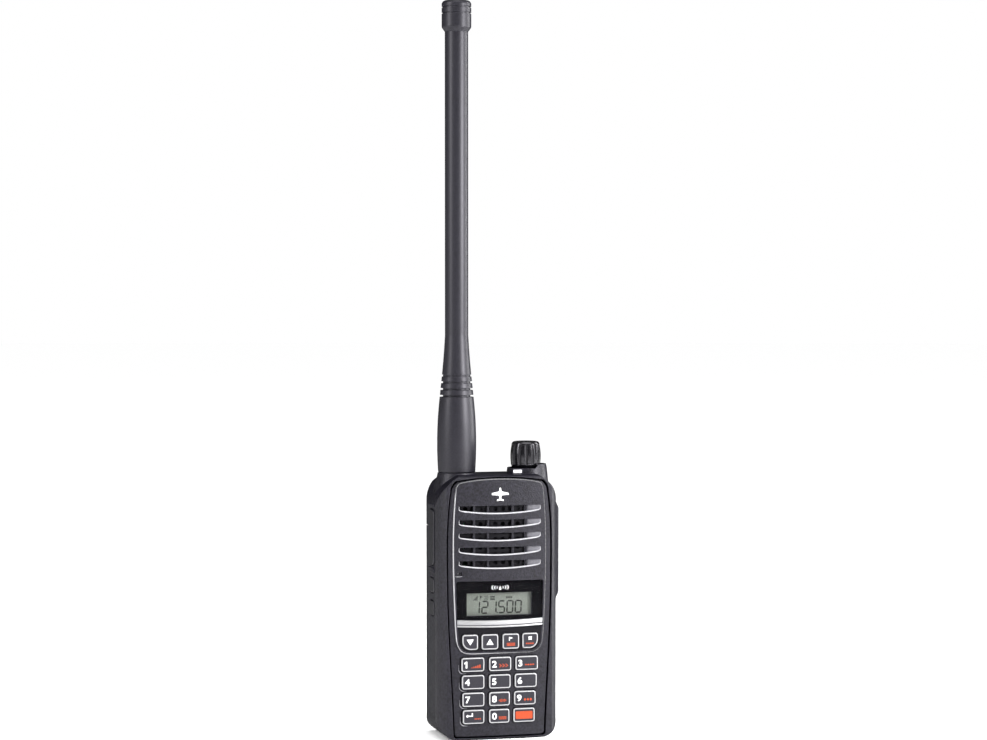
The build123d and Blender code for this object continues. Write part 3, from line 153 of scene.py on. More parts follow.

# Bright strip: middle height, how much its ends rise, half length, and the sections of its plating and of the
# dark fill of painted shade in its groove
STRIP_Z = 48.25
STRIP_SAG = 0.5
STRIP_HALF = 18.3
STRIP_PROFILE = ((1.5, 0.2), (1.4, -0.02), (0.8, -0.18), (-0.2, -0.26), (-0.36, -0.1), (-0.42, 0.22),
                 (-0.66, 0.24), (-0.74, 0.0), (-1.3, -0.14), (-1.42, 0.1), (-1.5, 0.2), (-1.5, 0.75),
                 (1.5, 0.75))
GROOVE_SHADE_PROFILE = ((-0.4, -0.1), (-0.4, 0.3), (-0.76, 0.3), (-0.76, -0.06))

# Socket rims beside the keys: distance from the key, reach along its lower edge, and section
SOCKET_GAP = 0.85
SOCKET_REACH = 2.2
SOCKET_TAPER = 4
SOCKET_PROFILE = ((0.14, 0.05), (0.1, -0.1), (-0.1, -0.1), (-0.14, 0.05), (-0.14, 0.3), (0.14, 0.3))

# Display: its opening, and its figures, which start from the opening's lower left corner
LCD_SPAN = (-14.05, 14.05)
LCD_LEVELS = (51.7, 61.2)
FREQUENCY = "121.500"
FIGURES_LEFT = 3.2
FIGURES_BOTTOM = 0.9
FIGURE_WIDTH = 2.45
FIGURE_PITCH = 3.6
POINT_BOX = (-0.75, -0.3, -0.1, 0.35)

# Segments, in a figure 1 wide and 2 high: their ends, stroke, and end gap as a share of the stroke. The lean
# is in millimetres over half a figure's height.
SEGMENTS = {"0": "abcdef", "1": "bc", "2": "abdeg", "5": "acdfg"}
SEGMENT_ENDS = {"a": ((0, 2), (1, 2)), "b": ((1, 1), (1, 2)), "c": ((1, 0), (1, 1)), "d": ((0, 0), (1, 0)),
                "e": ((0, 0), (0, 1)), "f": ((0, 1), (0, 2)), "g": ((0, 1), (1, 1))}
SEGMENT_STROKE = 0.25
SEGMENT_GAP = 0.12
SEGMENT_LEAN = 0.12

# The row of signs over the figures, from the opening's top
SIGNS_BOTTOM = 3.2
SIGNS_TOP = 1.3

# Window: the depths of its print behind the front, and the sign of a mast with waves
PLATE_STEPS = 24
WINDOW_PRINT_DEPTHS = (0.95, 1.02)
MAST_BOX = (-0.55, 0.55, 62.6, 64.1)
WAVE_REACHES = (1.5, 2.6, 3.7)
WAVE_Z = 63.5
WAVE_STROKE = 0.3
WAVE_TURN = 38
WAVE_FLATNESS = 0.42

EMBLEM_BOX = (-3.6, 3.6, 99.4, 105.2)

# Camera: its lens in millimetres, the rest in metres and degrees
LENS = 95.29
CAMERA_DISTANCE = 1.1
CAMERA_YAW = 14.5
CAMERA_PITCH = 1.786
CAMERA_HEIGHT = 0.188
CAMERA_SIDESTEP = 0.000963

# Floor, in metres
FLOOR_RADIUS = 8.0
FLOOR_EDGES = 96
FLOOR_GAP = 0.0002

# Softboxes aimed at the radio's middle: place, width and height in metres, and power
SOFTBOXES = {
    "right_softbox": ((0.9, -0.75, 0.45), (0.35, 0.9), 11),
    "right_rim": ((0.95, 0.16, 0.4), (0.2, 0.9), 15),
    "left_softbox": ((-1.0, -0.3, 0.6), (0.2, 0.9), 15),
}
FRONT_BOX_PLACE = (0.33, -0.38, 0.26)
FRONT_BOX_TARGET = (0.01, 0, 0.1)
FRONT_BOX_SIZE = (0.12, 0.12)
FRONT_BOX_POWER = 4.6

# Overhead light and white surround: angles in degrees, and how strongly the surround lights the radio
SUN_POWER = 2.9
SUN_SPREAD = 60
SUN_TILT = 18
SURROUND_LIGHT = 0.24


# ---------------------------------------------------------------- materials

# The Mix node's colour sockets by place, because several of its sockets share their names
MIX_FIRST = 6
MIX_SECOND = 7
MIX_RESULT = 2

# Texture scales in repeats per metre, and the bands of noise that are spread to their full range
MOTTLE_SCALE = 160.0
MOTTLE_BAND = (0.3, 0.7)
MOTTLE_SHARE = 0.35
SPECKLE_BAND = (0.35, 0.65)
SPECKLE_GRAINS = 1.5
WEAR_SCALE = 900.0
WEAR_BAND = (0.3, 0.75)
EDGE_BAND = (0.02, 0.25)
GLOSS_SCALE = 420.0
GRAIN_STRENGTH = 0.6
INK_COVER_SCALE = 2600.0
INK_COVER_BAND = (0.3, 0.8)
INK_GLOSS_SCALE = 1500.0
INK_GRAIN_SCALE = 4000.0
BEVEL_SAMPLES = 4

# How much a grey's green drops as its blue rises
GREEN_LOSS = 0.15

# Gloss: how far a surface turns away before it fades, what is left of it, and its tint
SHEEN_FADE = (0.3, 0.72)
GRAZING_SHEEN = 0.03
SHEEN_TINT = (0.95, 0.93, 1.0, 1.0)


class Paint:
    """A procedural finish: colour variation, fine grain, edge wear and uneven gloss."""

    def __init__(self, name):
        self.material = bpy.data.materials.new(name)
        self.material.use_nodes = True
        self.nodes = self.material.node_tree.nodes
        self.links = self.material.node_tree.links
        self.shader = self.nodes["Principled BSDF"]
        self.place = self.nodes.new("ShaderNodeTexCoord").outputs["Object"]

    def value(self, socket, value):
        self.shader.inputs[socket].default_value = value

    def stretched(self, scale):
        """Object coordinates stretched along an axis, for drawn surfaces."""
        mapping = self.nodes.new("ShaderNodeMapping")
        mapping.inputs["Scale"].default_value = scale
        self.links.new(self.place, mapping.inputs["Vector"])
        return mapping.outputs["Vector"]

    def noise(self, scale, detail=3.0, place=None):
        node = self.nodes.new("ShaderNodeTexNoise")
        node.inputs["Scale"].default_value = scale
        node.inputs["Detail"].default_value = detail
        self.links.new(place or self.place, node.inputs["Vector"])
        return node.outputs["Fac"]

    def cells(self, scale):
        node = self.nodes.new("ShaderNodeTexVoronoi")
        node.inputs["Scale"].default_value = scale
        self.links.new(self.place, node.inputs["Vector"])
        return node.outputs["Distance"]

    def ramp(self, source, low, high):
        """Spreads a band of values, from low to high, over 0 to 1."""
        node = self.nodes.new("ShaderNodeMapRange")
        node.inputs["From Min"].default_value = low
        node.inputs["From Max"].default_value = high
        self.links.new(source, node.inputs["Value"])
        return node.outputs["Result"]

    def spread(self, source, low, high):
        """Spreads values of 0 to 1 over low to high."""
        node = self.nodes.new("ShaderNodeMapRange")
        node.inputs["To Min"].default_value = low
        node.inputs["To Max"].default_value = high
        self.links.new(source, node.inputs["Value"])
        return node.outputs["Result"]

    def mix(self, factor, first, second):
        """A colour between two, each given as red, green and blue or as a node's output."""
        node = self.nodes.new("ShaderNodeMix")
        node.data_type = "RGBA"
        self.links.new(factor, node.inputs["Factor"])
        for value, socket in ((first, node.inputs[MIX_FIRST]), (second, node.inputs[MIX_SECOND])):
            if isinstance(value, tuple):
                socket.default_value = (*value, 1)
            else:
                self.links.new(value, socket)
        return node.outputs[MIX_RESULT]

    def arithmetic(self, operation, first, second):
        node = self.nodes.new("ShaderNodeMath")
        node.operation = operation
        for value, socket in ((first, node.inputs[0]), (second, node.inputs[1])):
            if isinstance(value, float):
                socket.default_value = value
            else:
                self.links.new(value, socket)
        return node.outputs[0]

    def rounded_normal(self, radius):
        node = self.nodes.new("ShaderNodeBevel")
        node.samples = BEVEL_SAMPLES
        node.inputs["Radius"].default_value = radius
        return node.outputs["Normal"]

    def edge(self, rounded):
        """How sharply the surface turns near a point, from 0 on a flat to 1 on an edge."""
        flat = self.nodes.new("ShaderNodeNewGeometry").outputs["Normal"]
        dot = self.nodes.new("ShaderNodeVectorMath")
        dot.operation = "DOT_PRODUCT"
        self.links.new(flat, dot.inputs[0])
        self.links.new(rounded, dot.inputs[1])
        return self.ramp(self.arithmetic("SUBTRACT", 1.0, dot.outputs["Value"]), *EDGE_BAND)

    def bump(self, height, distance, strength, normal=None):
        node = self.nodes.new("ShaderNodeBump")
        node.inputs["Distance"].default_value = distance
        node.inputs["Strength"].default_value = strength
        self.links.new(height, node.inputs["Height"])
        if normal is not None:
            self.links.new(normal, node.inputs["Normal"])
        self.links.new(node.outputs["Normal"], self.shader.inputs["Normal"])

    def sheen(self, level):
        """Gloss that fades where the surface turns away."""
        node = self.nodes.new("ShaderNodeMapRange")
        node.inputs["From Min"].default_value = SHEEN_FADE[0]
        node.inputs["From Max"].default_value = SHEEN_FADE[1]
        node.inputs["To Min"].default_value = level
        node.inputs["To Max"].default_value = level * GRAZING_SHEEN
        self.links.new(self.nodes.new("ShaderNodeLayerWeight").outputs["Facing"], node.inputs["Value"])
        self.links.new(node.outputs["Result"], self.shader.inputs["Specular IOR Level"])

    def colour(self, source):
        self.links.new(source, self.shader.inputs["Base Color"])

    def roughness(self, source):
        self.links.new(source, self.shader.inputs["Roughness"])


def grey(level, blue=1.28):
    """A neutral tone, with its blue raised by a factor and its green lowered a little with it."""
    return (level, level * (1 - GREEN_LOSS * (blue - 1)), level * blue)


def finish(name, dark, light, worn, gloss, grain, depth, rounding=0.25, metallic=0.0, sheen=0.5):
    """A moulded, cast or plated surface, whose roughness varies over the range gloss.

    The size and depth of its grain and the rounding of its edges are in millimetres.
    """
    paint = Paint(name)
    rounded = paint.rounded_normal(rounding * MM)
    blotches = paint.ramp(paint.noise(MOTTLE_SCALE), *MOTTLE_BAND)
    speckle = paint.ramp(paint.noise(1 / (SPECKLE_GRAINS * grain * MM), detail=2.0), *SPECKLE_BAND)
    body = paint.mix(speckle, dark, light)
    tone = paint.mix(paint.spread(blotches, 0.0, MOTTLE_SHARE), body, light)
    wear = paint.arithmetic("MULTIPLY", paint.edge(rounded), paint.ramp(paint.noise(WEAR_SCALE), *WEAR_BAND))
    paint.colour(paint.mix(wear, tone, worn))
    paint.roughness(paint.spread(paint.noise(GLOSS_SCALE, detail=4.0), *gloss))
    paint.bump(paint.cells(1 / (grain * MM)), depth * MM, GRAIN_STRENGTH, rounded)
    paint.value("Metallic", metallic)
    paint.value("Specular Tint", SHEEN_TINT)
    paint.sheen(sheen)
    return paint.material


def window_finish():
    """Smoked acrylic: mostly clear, with faint smears."""
    paint = Paint("window_acrylic")
    paint.colour(paint.mix(paint.noise(scale=300.0), grey(0.004), grey(0.012)))
    paint.roughness(paint.spread(paint.noise(scale=60.0, detail=5.0), low=0.02, high=0.09))
    paint.bump(paint.noise(scale=120.0), distance=0.01 * MM, strength=0.1)
    paint.value("Alpha", 0.03)
    return paint.material


def display_finish():
    """The grey-green display, with the faint grid of its cells."""
    paint = Paint("display_green")
    grid = paint.ramp(paint.cells(scale=3600.0), low=0.2, high=0.8)
    paint.colour(paint.mix(grid, (0.086, 0.095, 0.082), (0.074, 0.084, 0.071)))
    paint.roughness(paint.spread(paint.noise(scale=200.0), low=0.3, high=0.45))
    paint.bump(paint.noise(scale=2500.0), distance=0.01 * MM, strength=0.2)
    return paint.material


def brushed_finish():
    """Satin plating drawn along the strip."""
    paint = Paint("trim_plating")
    drawn = paint.noise(scale=1.0, detail=4.0, place=paint.stretched((60.0, 6000.0, 6000.0)))
    paint.colour(paint.mix(drawn, grey(0.27, 1.02), grey(0.42, 1.02)))
    paint.roughness(paint.spread(drawn, low=0.28, high=0.48))
    paint.bump(drawn, distance=0.01 * MM, strength=0.3, normal=paint.rounded_normal(0.15 * MM))
    paint.value("Metallic", 0.85)
    return paint.material


def rim_highlight_finish():
    """The panel's moulded edge in painted highlight: bright on its left and lower left, dim on its top and
    right.
    """
    paint = Paint("rim_painted_highlight")
    split = paint.nodes.new("ShaderNodeSeparateXYZ")
    paint.links.new(paint.place, split.inputs["Vector"])
    rightward = paint.ramp(split.outputs["X"], low=RIM_HIGHLIGHT_FADE_X[0] * MM, high=RIM_HIGHLIGHT_FADE_X[1] * MM)
    upward = paint.ramp(split.outputs["Z"], low=RIM_HIGHLIGHT_FADE_Z[0] * MM, high=RIM_HIGHLIGHT_FADE_Z[1] * MM)
    streaks = paint.noise(WEAR_SCALE)
    bright_highlight = paint.mix(streaks, grey(0.24, 1.04), grey(0.34, 1.04))
    dim_highlight = paint.mix(streaks, grey(0.05, 1.04), grey(0.09, 1.04))
    paint.colour(paint.mix(paint.arithmetic("MAXIMUM", rightward, upward), bright_highlight, dim_highlight))
    paint.roughness(paint.spread(paint.noise(INK_GLOSS_SCALE), low=0.2, high=0.34))
    paint.bump(paint.noise(INK_GRAIN_SCALE), distance=0.006 * MM, strength=0.2)
    return paint.material


def ink(name, dark, light, gloss=(0.35, 0.5), sheen=0.3):
    """Pad-printed ink: slightly uneven cover and gloss."""
    paint = Paint(name)
    paint.value("Specular IOR Level", sheen)
    paint.colour(paint.mix(paint.ramp(paint.noise(INK_COVER_SCALE), *INK_COVER_BAND), light, dark))
    paint.roughness(paint.spread(paint.noise(INK_GLOSS_SCALE), *gloss))
    paint.bump(paint.noise(INK_GRAIN_SCALE), distance=0.01 * MM, strength=0.2)
    return paint.material


FINISHES = {
    "case": finish("case_plastic", dark=grey(0.0005, 1.4), light=grey(0.009, 1.4), worn=grey(0.06),
                   gloss=(0.34, 0.48), grain=0.6, depth=0.12, rounding=0.35, sheen=0.23),
    "key": finish("key_plastic", dark=grey(0.007), light=grey(0.013), worn=grey(0.04),
                  gloss=(0.40, 0.5), grain=0.22, depth=0.012, rounding=0.2, sheen=0.25),
    "rubber": finish("side_rubber", dark=grey(0.002), light=grey(0.007), worn=grey(0.05),
                     gloss=(0.4, 0.5), grain=0.3, depth=0.02, rounding=0.3, sheen=0.4),
    "window": window_finish(),
    "bright_trim": brushed_finish(),
    "display": display_finish(),
    "moulding": finish("inner_moulding", dark=grey(0.008), light=grey(0.016), worn=grey(0.05),
                       gloss=(0.4, 0.6), grain=0.3, depth=0.02),
    "board": finish("solder_mask", dark=(0.012, 0.07, 0.03), light=(0.02, 0.12, 0.05), worn=(0.3, 0.25, 0.1),
                    gloss=(0.25, 0.4), grain=0.4, depth=0.02),
    "cast_metal": finish("cast_metal", dark=grey(0.10, 1.04), light=grey(0.16, 1.04), worn=grey(0.35, 1.02),
                         gloss=(0.4, 0.6), grain=0.5, depth=0.04, metallic=0.8),
    "steel": finish("plain_steel", dark=grey(0.45, 1.03), light=grey(0.6, 1.03), worn=grey(0.75, 1.0),
                    gloss=(0.25, 0.4), grain=0.3, depth=0.008, metallic=1.0),
    "brass": finish("plated_brass", dark=(0.6, 0.42, 0.16), light=(0.78, 0.58, 0.26), worn=(0.9, 0.75, 0.5),
                    gloss=(0.2, 0.35), grain=0.3, depth=0.008, metallic=1.0),
    "lens": finish("milky_lens", dark=grey(0.75, 1.02), light=grey(0.85, 1.02), worn=grey(0.9, 1.0),
                   gloss=(0.2, 0.3), grain=0.4, depth=0.006),
}
ANTENNA_RUBBER = finish("antenna_rubber", dark=grey(0.006, 1.3), light=grey(0.010, 1.3), worn=grey(0.04),
                        gloss=(0.38, 0.46), grain=0.5, depth=0.006, rounding=0.3, sheen=0.26)
PAINTED_MESH = finish("painted_mesh", dark=grey(0.002), light=grey(0.004), worn=grey(0.02),
                      gloss=(0.4, 0.5), grain=0.3, depth=0.01, sheen=0.1)
NODE_FINISHES = {
    "antenna_sheath": ANTENNA_RUBBER,
    "antenna_cap": ANTENNA_RUBBER,
    "volume_knob": finish("knob_plastic", dark=grey(0.001), light=grey(0.003), worn=grey(0.02),
                          gloss=(0.12, 0.2), grain=0.3, depth=0.004, rounding=0.1),
    "function_bezel": finish("bezel_plastic", dark=grey(0.002), light=grey(0.004), worn=grey(0.03),
                             gloss=(0.25, 0.36), grain=0.3, depth=0.006, rounding=0.3, sheen=0.1),
    "battery_case": finish("battery_plastic", dark=grey(0.001, 1.4), light=grey(0.007, 1.4), worn=grey(0.06),
                           gloss=(0.36, 0.5), grain=0.5, depth=0.07, rounding=0.35, sheen=0.27),
    "grille_mesh": PAINTED_MESH,
    "speaker_basket": PAINTED_MESH,
    "speaker_cone": finish("cone_paper", dark=grey(0.003), light=grey(0.007), worn=grey(0.02),
                           gloss=(0.6, 0.8), grain=0.3, depth=0.02, sheen=0.1),
}
SILVER = finish("silver_print", dark=grey(0.23, 1.02), light=grey(0.30, 1.02), worn=grey(0.4, 1.0),
                gloss=(0.3, 0.42), grain=0.25, depth=0.004, rounding=0.1, metallic=0.2)
# Speaker slot lips and key socket rims: their pale grey is a painted highlight, where the lights catch their
# edges.
LIP_PAINTED_HIGHLIGHT = finish("slot_lip_painted_highlight", dark=grey(0.24, 1.04), light=grey(0.32, 1.04), worn=grey(0.5),
             gloss=(0.26, 0.38), grain=0.3, depth=0.006, rounding=0.1, metallic=0.2)
# The microphone slot's lip: a dimmer painted highlight.
DIM_LIP_HIGHLIGHT = finish("dim_lip_painted_highlight", dark=grey(0.06, 1.04), light=grey(0.10, 1.04), worn=grey(0.3),
                  gloss=(0.3, 0.4), grain=0.3, depth=0.006, rounding=0.1)
# The slot ramps' pale grey is painted light: they are the case's dark plastic, lit from the left.
RAMP_PAINTED_LIGHT = finish("ramp_painted_light", dark=grey(0.08, 1.1), light=grey(0.12, 1.1), worn=grey(0.16),
              gloss=(0.4, 0.5), grain=0.5, depth=0.03, rounding=0.2)
# The rim's colour is a painted highlight: bright where the left light catches it, dim where it faces away.
RIM_PAINTED_HIGHLIGHT = rim_highlight_finish()
WHITE = ink("white_ink", dark=grey(0.60, 1.0), light=grey(0.72, 1.0))
ORANGE = ink("orange_ink", dark=(0.22, 0.024, 0.003), light=(0.32, 0.038, 0.005))
LCD_INK = ink("lcd_segment", dark=grey(0.004, 1.0), light=grey(0.010, 1.0), gloss=(0.5, 0.6), sheen=0.1)
# The dark fill in the strip's groove is painted shade, standing in for the groove's own shadow.
GROOVE_PAINTED_SHADE = ink("strip_groove_painted_shade", dark=grey(0.03, 1.05), light=grey(0.05, 1.05), gloss=(0.3, 0.4))
BLACK_PRINT = ink("window_print", dark=grey(0.001), light=grey(0.002), gloss=(0.03, 0.07), sheen=0.02)


def dress_nodes():
    """Gives every CAD node its own finish, or else the finish of its material slot."""
    for part in frame["record"]["subparts"]:
        chosen = NODE_FINISHES.get(part["node"], FINISHES[part["material_slot"]])
        for holder in NODES[part["node"]].material_slots:
            holder.material = chosen


# ---------------------------------------------------------------- building pieces

def flat_at(y):
    """A surface that lies at the same y everywhere, as a function of x and z."""
    return lambda x, z: y


def front_of_case(x, z):
    """The y of the case's curved front, which is the same at every height."""
    return CASE_FRONT + CASE_RADIUS - math.sqrt(CASE_RADIUS ** 2 - x ** 2)


def front_panel(x, z):
    """The y of the panel around the number keys, a step behind the raised centre."""
    return front_of_case(x, z) + PANEL_STEP


def front_of_window(x, z):
    """The y of the display window's outer face, found by a ray from the front."""
    window = NODES["display_window"]
    found, place, _, _ = window.ray_cast(Vector((x, RAY_START_Y, z)) * MM, Vector((0, 1, 0)))
    if not found:
        raise ValueError(f"the display window has no front at {x}, {z}")
    return place.y / MM


def make_piece(name, bm, material, body):
    """Turns a finished bmesh, in millimetres, into a piece that rides on a body."""
    bmesh.ops.scale(bm, vec=(MM, MM, MM), verts=bm.verts)
    bmesh.ops.recalc_face_normals(bm, faces=bm.faces)
    mesh = bpy.data.meshes.new(name)
    bm.to_mesh(mesh)
    bm.free()
    mesh.shade_smooth()
    mesh.set_sharp_from_angle(angle=math.radians(SHARP_ANGLE))
    mesh.materials.append(material)
    piece = bpy.data.objects.new(name, mesh)
    bpy.context.scene.collection.objects.link(piece)
    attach(piece, body)
    return piece


def add_skin(bm, loops, closed=True):
    """Skins closed loops one to the next, and back to the first or with flat ends."""
    rings = [[bm.verts.new(point) for point in loop] for loop in loops]
    pairs = list(zip(rings, rings[1:]))
    if closed:
        pairs.append((rings[-1], rings[0]))
    for first, second in pairs:
        for i in range(len(first)):
            j = (i + 1) % len(first)
            bm.faces.new((first[i], first[j], second[j], second[i]))
    if not closed:
        bm.faces.new(rings[0])
        bm.faces.new(rings[-1][::-1])


def add_print(bm, outline, y_at):
    """A flat printed shape from its x, z outline, standing just proud of a surface."""
    near = [(x, y_at(x, z) - PRINT_PROUD, z) for x, z in outline]
    far = [(x, y_at(x, z) + PRINT_PROUD, z) for x, z in outline]
    add_skin(bm, (near, far), closed=False)


def printed(outlines, y_at):
    """A bmesh of printed shapes."""
    bm = bmesh.new()
    for outline in outlines:
        add_print(bm, outline, y_at)
    return bm


def sweep(path, profile, y_at, taper=0, closed=False):
    """A bmesh of a section swept along a path of x, z points, thinner over its first and last taper steps."""
    loops = []
    last = len(path) - 1
    for i, (x, z) in enumerate(path):
        before = path[i - 1] if closed or i > 0 else path[0]
        after = path[(i + 1) % len(path)] if closed or i < last else path[last]
        along = Vector((after[0] - before[0], after[1] - before[1])).normalized()
        across = Vector((-along.y, along.x))
        size = min(1.0, TAPER_TIP + (1 - TAPER_TIP) * min(i, last - i) / taper) if taper else 1.0
        spots = [(x + across.x * a * size, z + across.y * a * size, d * size) for a, d in profile]
        loops.append([(px, y_at(px, pz) + d, pz) for px, pz, d in spots])
    bm = bmesh.new()
    add_skin(bm, loops, closed)
    return bm


def rounded_loop(box, roundings, inset=0.0):
    """A rounded rectangle's outline, from its lower left corner, moved inward by inset."""
    left, right, bottom, top = box
    corners = ((left, bottom, 1, 1, 180), (right, bottom, -1, 1, 270), (right, top, -1, -1, 0),
               (left, top, 1, -1, 90))
    loop = []
    for (x, z, to_x, to_z, start), rounding in zip(corners, roundings):
        radius = max(rounding - inset, LEAST_ROUNDING)
        reach = max(rounding, inset)
        for step in range(ARC_STEPS + 1):
            turn = math.radians(start + 90 * step / ARC_STEPS)
            across, up = radius * math.cos(turn), radius * math.sin(turn)
            loop.append((x + to_x * reach + across, z + to_z * reach + up))
    return loop


def smooth_path(points, steps=10):
    """A smooth open path through points, by Catmull-Rom interpolation."""
    ends = [points[0], *points, points[-1]]
    path = []
    for a, b, c, d in zip(ends, ends[1:], ends[2:], ends[3:]):
        a, b, c, d = Vector(a), Vector(b), Vector(c), Vector(d)
        for step in range(steps):
            t = step / steps
            path.append(tuple(0.5 * (2 * b + (c - a) * t + (2 * a - 5 * b + 4 * c - d) * t ** 2
                                     + (3 * b - a - 3 * c + d) * t ** 3)))
    return path + [tuple(points[-1])]


def placed(shapes, box):
    """Unit-square outlines moved into a box."""
    left, right, bottom, top = box
    return [[(left + x * (right - left), bottom + z * (top - bottom)) for x, z in shape] for shape in shapes]


def moved(box, x, z):
    """A box moved by x and z."""
    left, right, bottom, top = box
    return (left + x, right + x, bottom + z, top + z)


# ---------------------------------------------------------------- generic marks, in a unit square

def bar(left, right, bottom, top):
    return [(left, bottom), (right, bottom), (right, top), (left, top)]


def rising_bars(count=5, width=0.13):
    return [bar(i / count, i / count + width, 0, (i + 1) / count) for i in range(count)]


def level_bars(count=3, thickness=0.2):
    return [bar(0, 1, i / count, i / count + thickness) for i in range(count)]


def dashes(count=4, width=0.17, bottom=0.3, top=0.7):
    return [bar(i / count, i / count + width, bottom, top) for i in range(count)]


def chevrons(count=3, reach=0.22, thickness=0.12):
    half = [(0, 0), (reach, 0.5), (0, 1)]
    unit = half + [(x + thickness, z) for x, z in reversed(half)]
    return [[(i / count + x, z) for x, z in unit] for i in range(count)]


def wave_bars(heights=(0.4, 0.8, 1.0, 0.6, 0.9, 0.5), width=0.09):
    lefts = [i / len(heights) for i in range(len(heights))]
    return [bar(left, left + width, 0.5 - high / 2, 0.5 + high / 2) for left, high in zip(lefts, heights)]


def diamonds(count=3, width=0.28):
    unit = [(0, 0.5), (width / 2, 0), (width, 0.5), (width / 2, 1)]
    return [[(i / count + x, z) for x, z in unit] for i in range(count)]


def triangle(up):
    return [[(0, 0), (1, 0), (0.5, 1)] if up else [(0, 1), (0.5, 0), (1, 1)]]


def cross(thick=0.24):
    return [[(0, thick), (thick, 0), (1, 1 - thick), (1 - thick, 1)],
            [(0, 1 - thick), (thick, 1), (0.5, 0.5 + thick), (0.5 - thick, 0.5)],
            [(0.5, 0.5 - thick), (0.5 + thick, 0.5), (1, thick), (1 - thick, 0)]]


def return_arrow():
    return [[(0, 0.35), (0.3, 0), (0.3, 0.25), (1, 0.25), (1, 1), (0.84, 1), (0.84, 0.45), (0.3, 0.45),
             (0.3, 0.7)]]


def flag(stem=0.14):
    return [bar(0, stem, 0, 1), [(stem, 1), (stem, 0.45), (1, 0.72)]]


def aeroplane():
    """A light aeroplane from above, nose up."""
    half = [(0.04, 0.97), (0.07, 0.72), (0.5, 0.60), (0.5, 0.48), (0.07, 0.44), (0.045, 0.2), (0.2, 0.13),
            (0.2, 0.04)]
    right = [(0.5 + x, z) for x, z in half]
    left = [(0.5 - x, z) for x, z in reversed(half)]
    return [[(0.5, 1), *right, (0.5, 0.09), *left]]


MARKS = {"1": rising_bars, "2": chevrons, "3": dashes, "8": wave_bars, "9": diamonds, "0": level_bars,
         "enter": dashes, "memory": level_bars, "clear": dashes}

# The display's signs, each with its left and right ends
LCD_SIGNS = ((rising_bars, -10.9, -8.9), (flag, -8.0, -6.9), (chevrons, -6.2, -4.4), (level_bars, -3.6, -1.6),
             (dashes, 3.2, 6.0))


# ---------------------------------------------------------------- keys

def key_face(node):
    """A key's full outline, as a box, and the y of its face."""
    low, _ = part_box(node)
    reach = low.y + (KEY_FILLET + KEY_SLACK) * MM
    cap = [v.co / MM for v in NODES[node].data.vertices if v.co.y < reach]
    left, right = min(p.x for p in cap), max(p.x for p in cap)
    bottom, top = min(p.z for p in cap), max(p.z for p in cap)
    return (left, right, bottom, top), low.y / MM


def print_on_key(name, shapes, box, node, material):
    """Printed shapes on the flat face of a key."""
    _, face = key_face(node)
    make_piece(name, printed(placed(shapes, box), flat_at(face)), material, node)


def make_ring(node, roundings):
    """The pale rim around a key's face."""
    box, face = key_face(node)
    loops = []
    for inset, behind in RING_PROFILE:
        loops.append([(x, face + behind, z) for x, z in rounded_loop(box, roundings, inset)])
    bm = bmesh.new()
    add_skin(bm, loops)
    make_piece(f"{node}_rim", bm, SILVER, node)


def plain_one(left, bottom, face):
    """A one with a flag, as an outline, because the letter shapes' own one is a bare stroke."""
    shape = [(0.34, 0), (0.62, 0), (0.62, 1), (0.42, 1), (0.04, 0.8), (0.04, 0.62), (0.34, 0.74)]
    box = (left, left + DIGIT_HEIGHT * ONE_BREADTH, bottom, bottom + DIGIT_HEIGHT)
    return printed(placed([shape], box), flat_at(face))


def letter(digit):
    """A digit as a bmesh, lying flat, from the program's own plain letter shapes."""
    curve = bpy.data.curves.new("digit_shape", "FONT")
    curve.body = digit
    curve.offset = LETTER_SWELL
    curve.extrude = LETTER_DEPTH
    shape = bpy.data.objects.new("digit_shape", curve)
    bpy.context.scene.collection.objects.link(shape)
    bpy.context.view_layer.update()
    mesh = bpy.data.meshes.new_from_object(shape.evaluated_get(bpy.context.evaluated_depsgraph_get()))
    bpy.data.objects.remove(shape)
    bm = bmesh.new()
    bm.from_mesh(mesh)
    return bm


def fitted_letter(digit, left, bottom, face):
    """A digit's letter shape, stood upright on a face at the digits' height."""
    bm = letter(digit)
    low = Vector(min(v.co[i] for v in bm.verts) for i in range(3))
    scale = DIGIT_HEIGHT / (max(v.co.y for v in bm.verts) - low.y)
    start = Vector((left, face, bottom))
    for v in bm.verts:
        spot = (v.co - low) * scale
        v.co = start + Vector((spot.x * DIGIT_BREADTH, -v.co.z / LETTER_DEPTH * PRINT_PROUD, spot.y))
    return bm


def make_digit(node, digit):
    """A key's number, at the left of its face."""
    (left, _, bottom, top), face = key_face(node)
    low = (bottom + top - DIGIT_HEIGHT) / 2
    if digit == "1":
        bm = plain_one(left + ONE_INSET, low, face)
    else:
        bm = fitted_letter(digit, left + DIGIT_INSET, low, face)
    make_piece(f"{node}_digit", bm, WHITE, node)


def make_number_key(digit):
    """A number key's rim, number and, on some, an orange mark."""
    node = f"key_{digit}"
    make_ring(node, SMALL_CORNERS)
    make_digit(node, digit)
    if digit in MARKS:
        (left, right, bottom, top), _ = key_face(node)
        low = (bottom + top - DIGIT_HEIGHT) / 2
        box = (left + MARK_LEFT, right - MARK_RIGHT, low, low + MARK_HEIGHT)
        print_on_key(f"{node}_mark", MARKS[digit](), box, node, ORANGE)


def make_enter_key():
    """The enter key's rim, arrow and orange mark."""
    node = "key_enter"
    make_ring(node, SMALL_CORNERS)
    (left, right, bottom, top), _ = key_face(node)
    middle = (bottom + top) / 2
    print_on_key(f"{node}_arrow", return_arrow(), moved(ENTER_ARROW_BOX, left, middle), node, WHITE)
    low, high = (middle + rise for rise in ENTER_MARK_LEVELS)
    box = (left + ENTER_MARK_LEFT, right - MARK_RIGHT, low, high)
    print_on_key(f"{node}_mark", MARKS["enter"](), box, node, ORANGE)


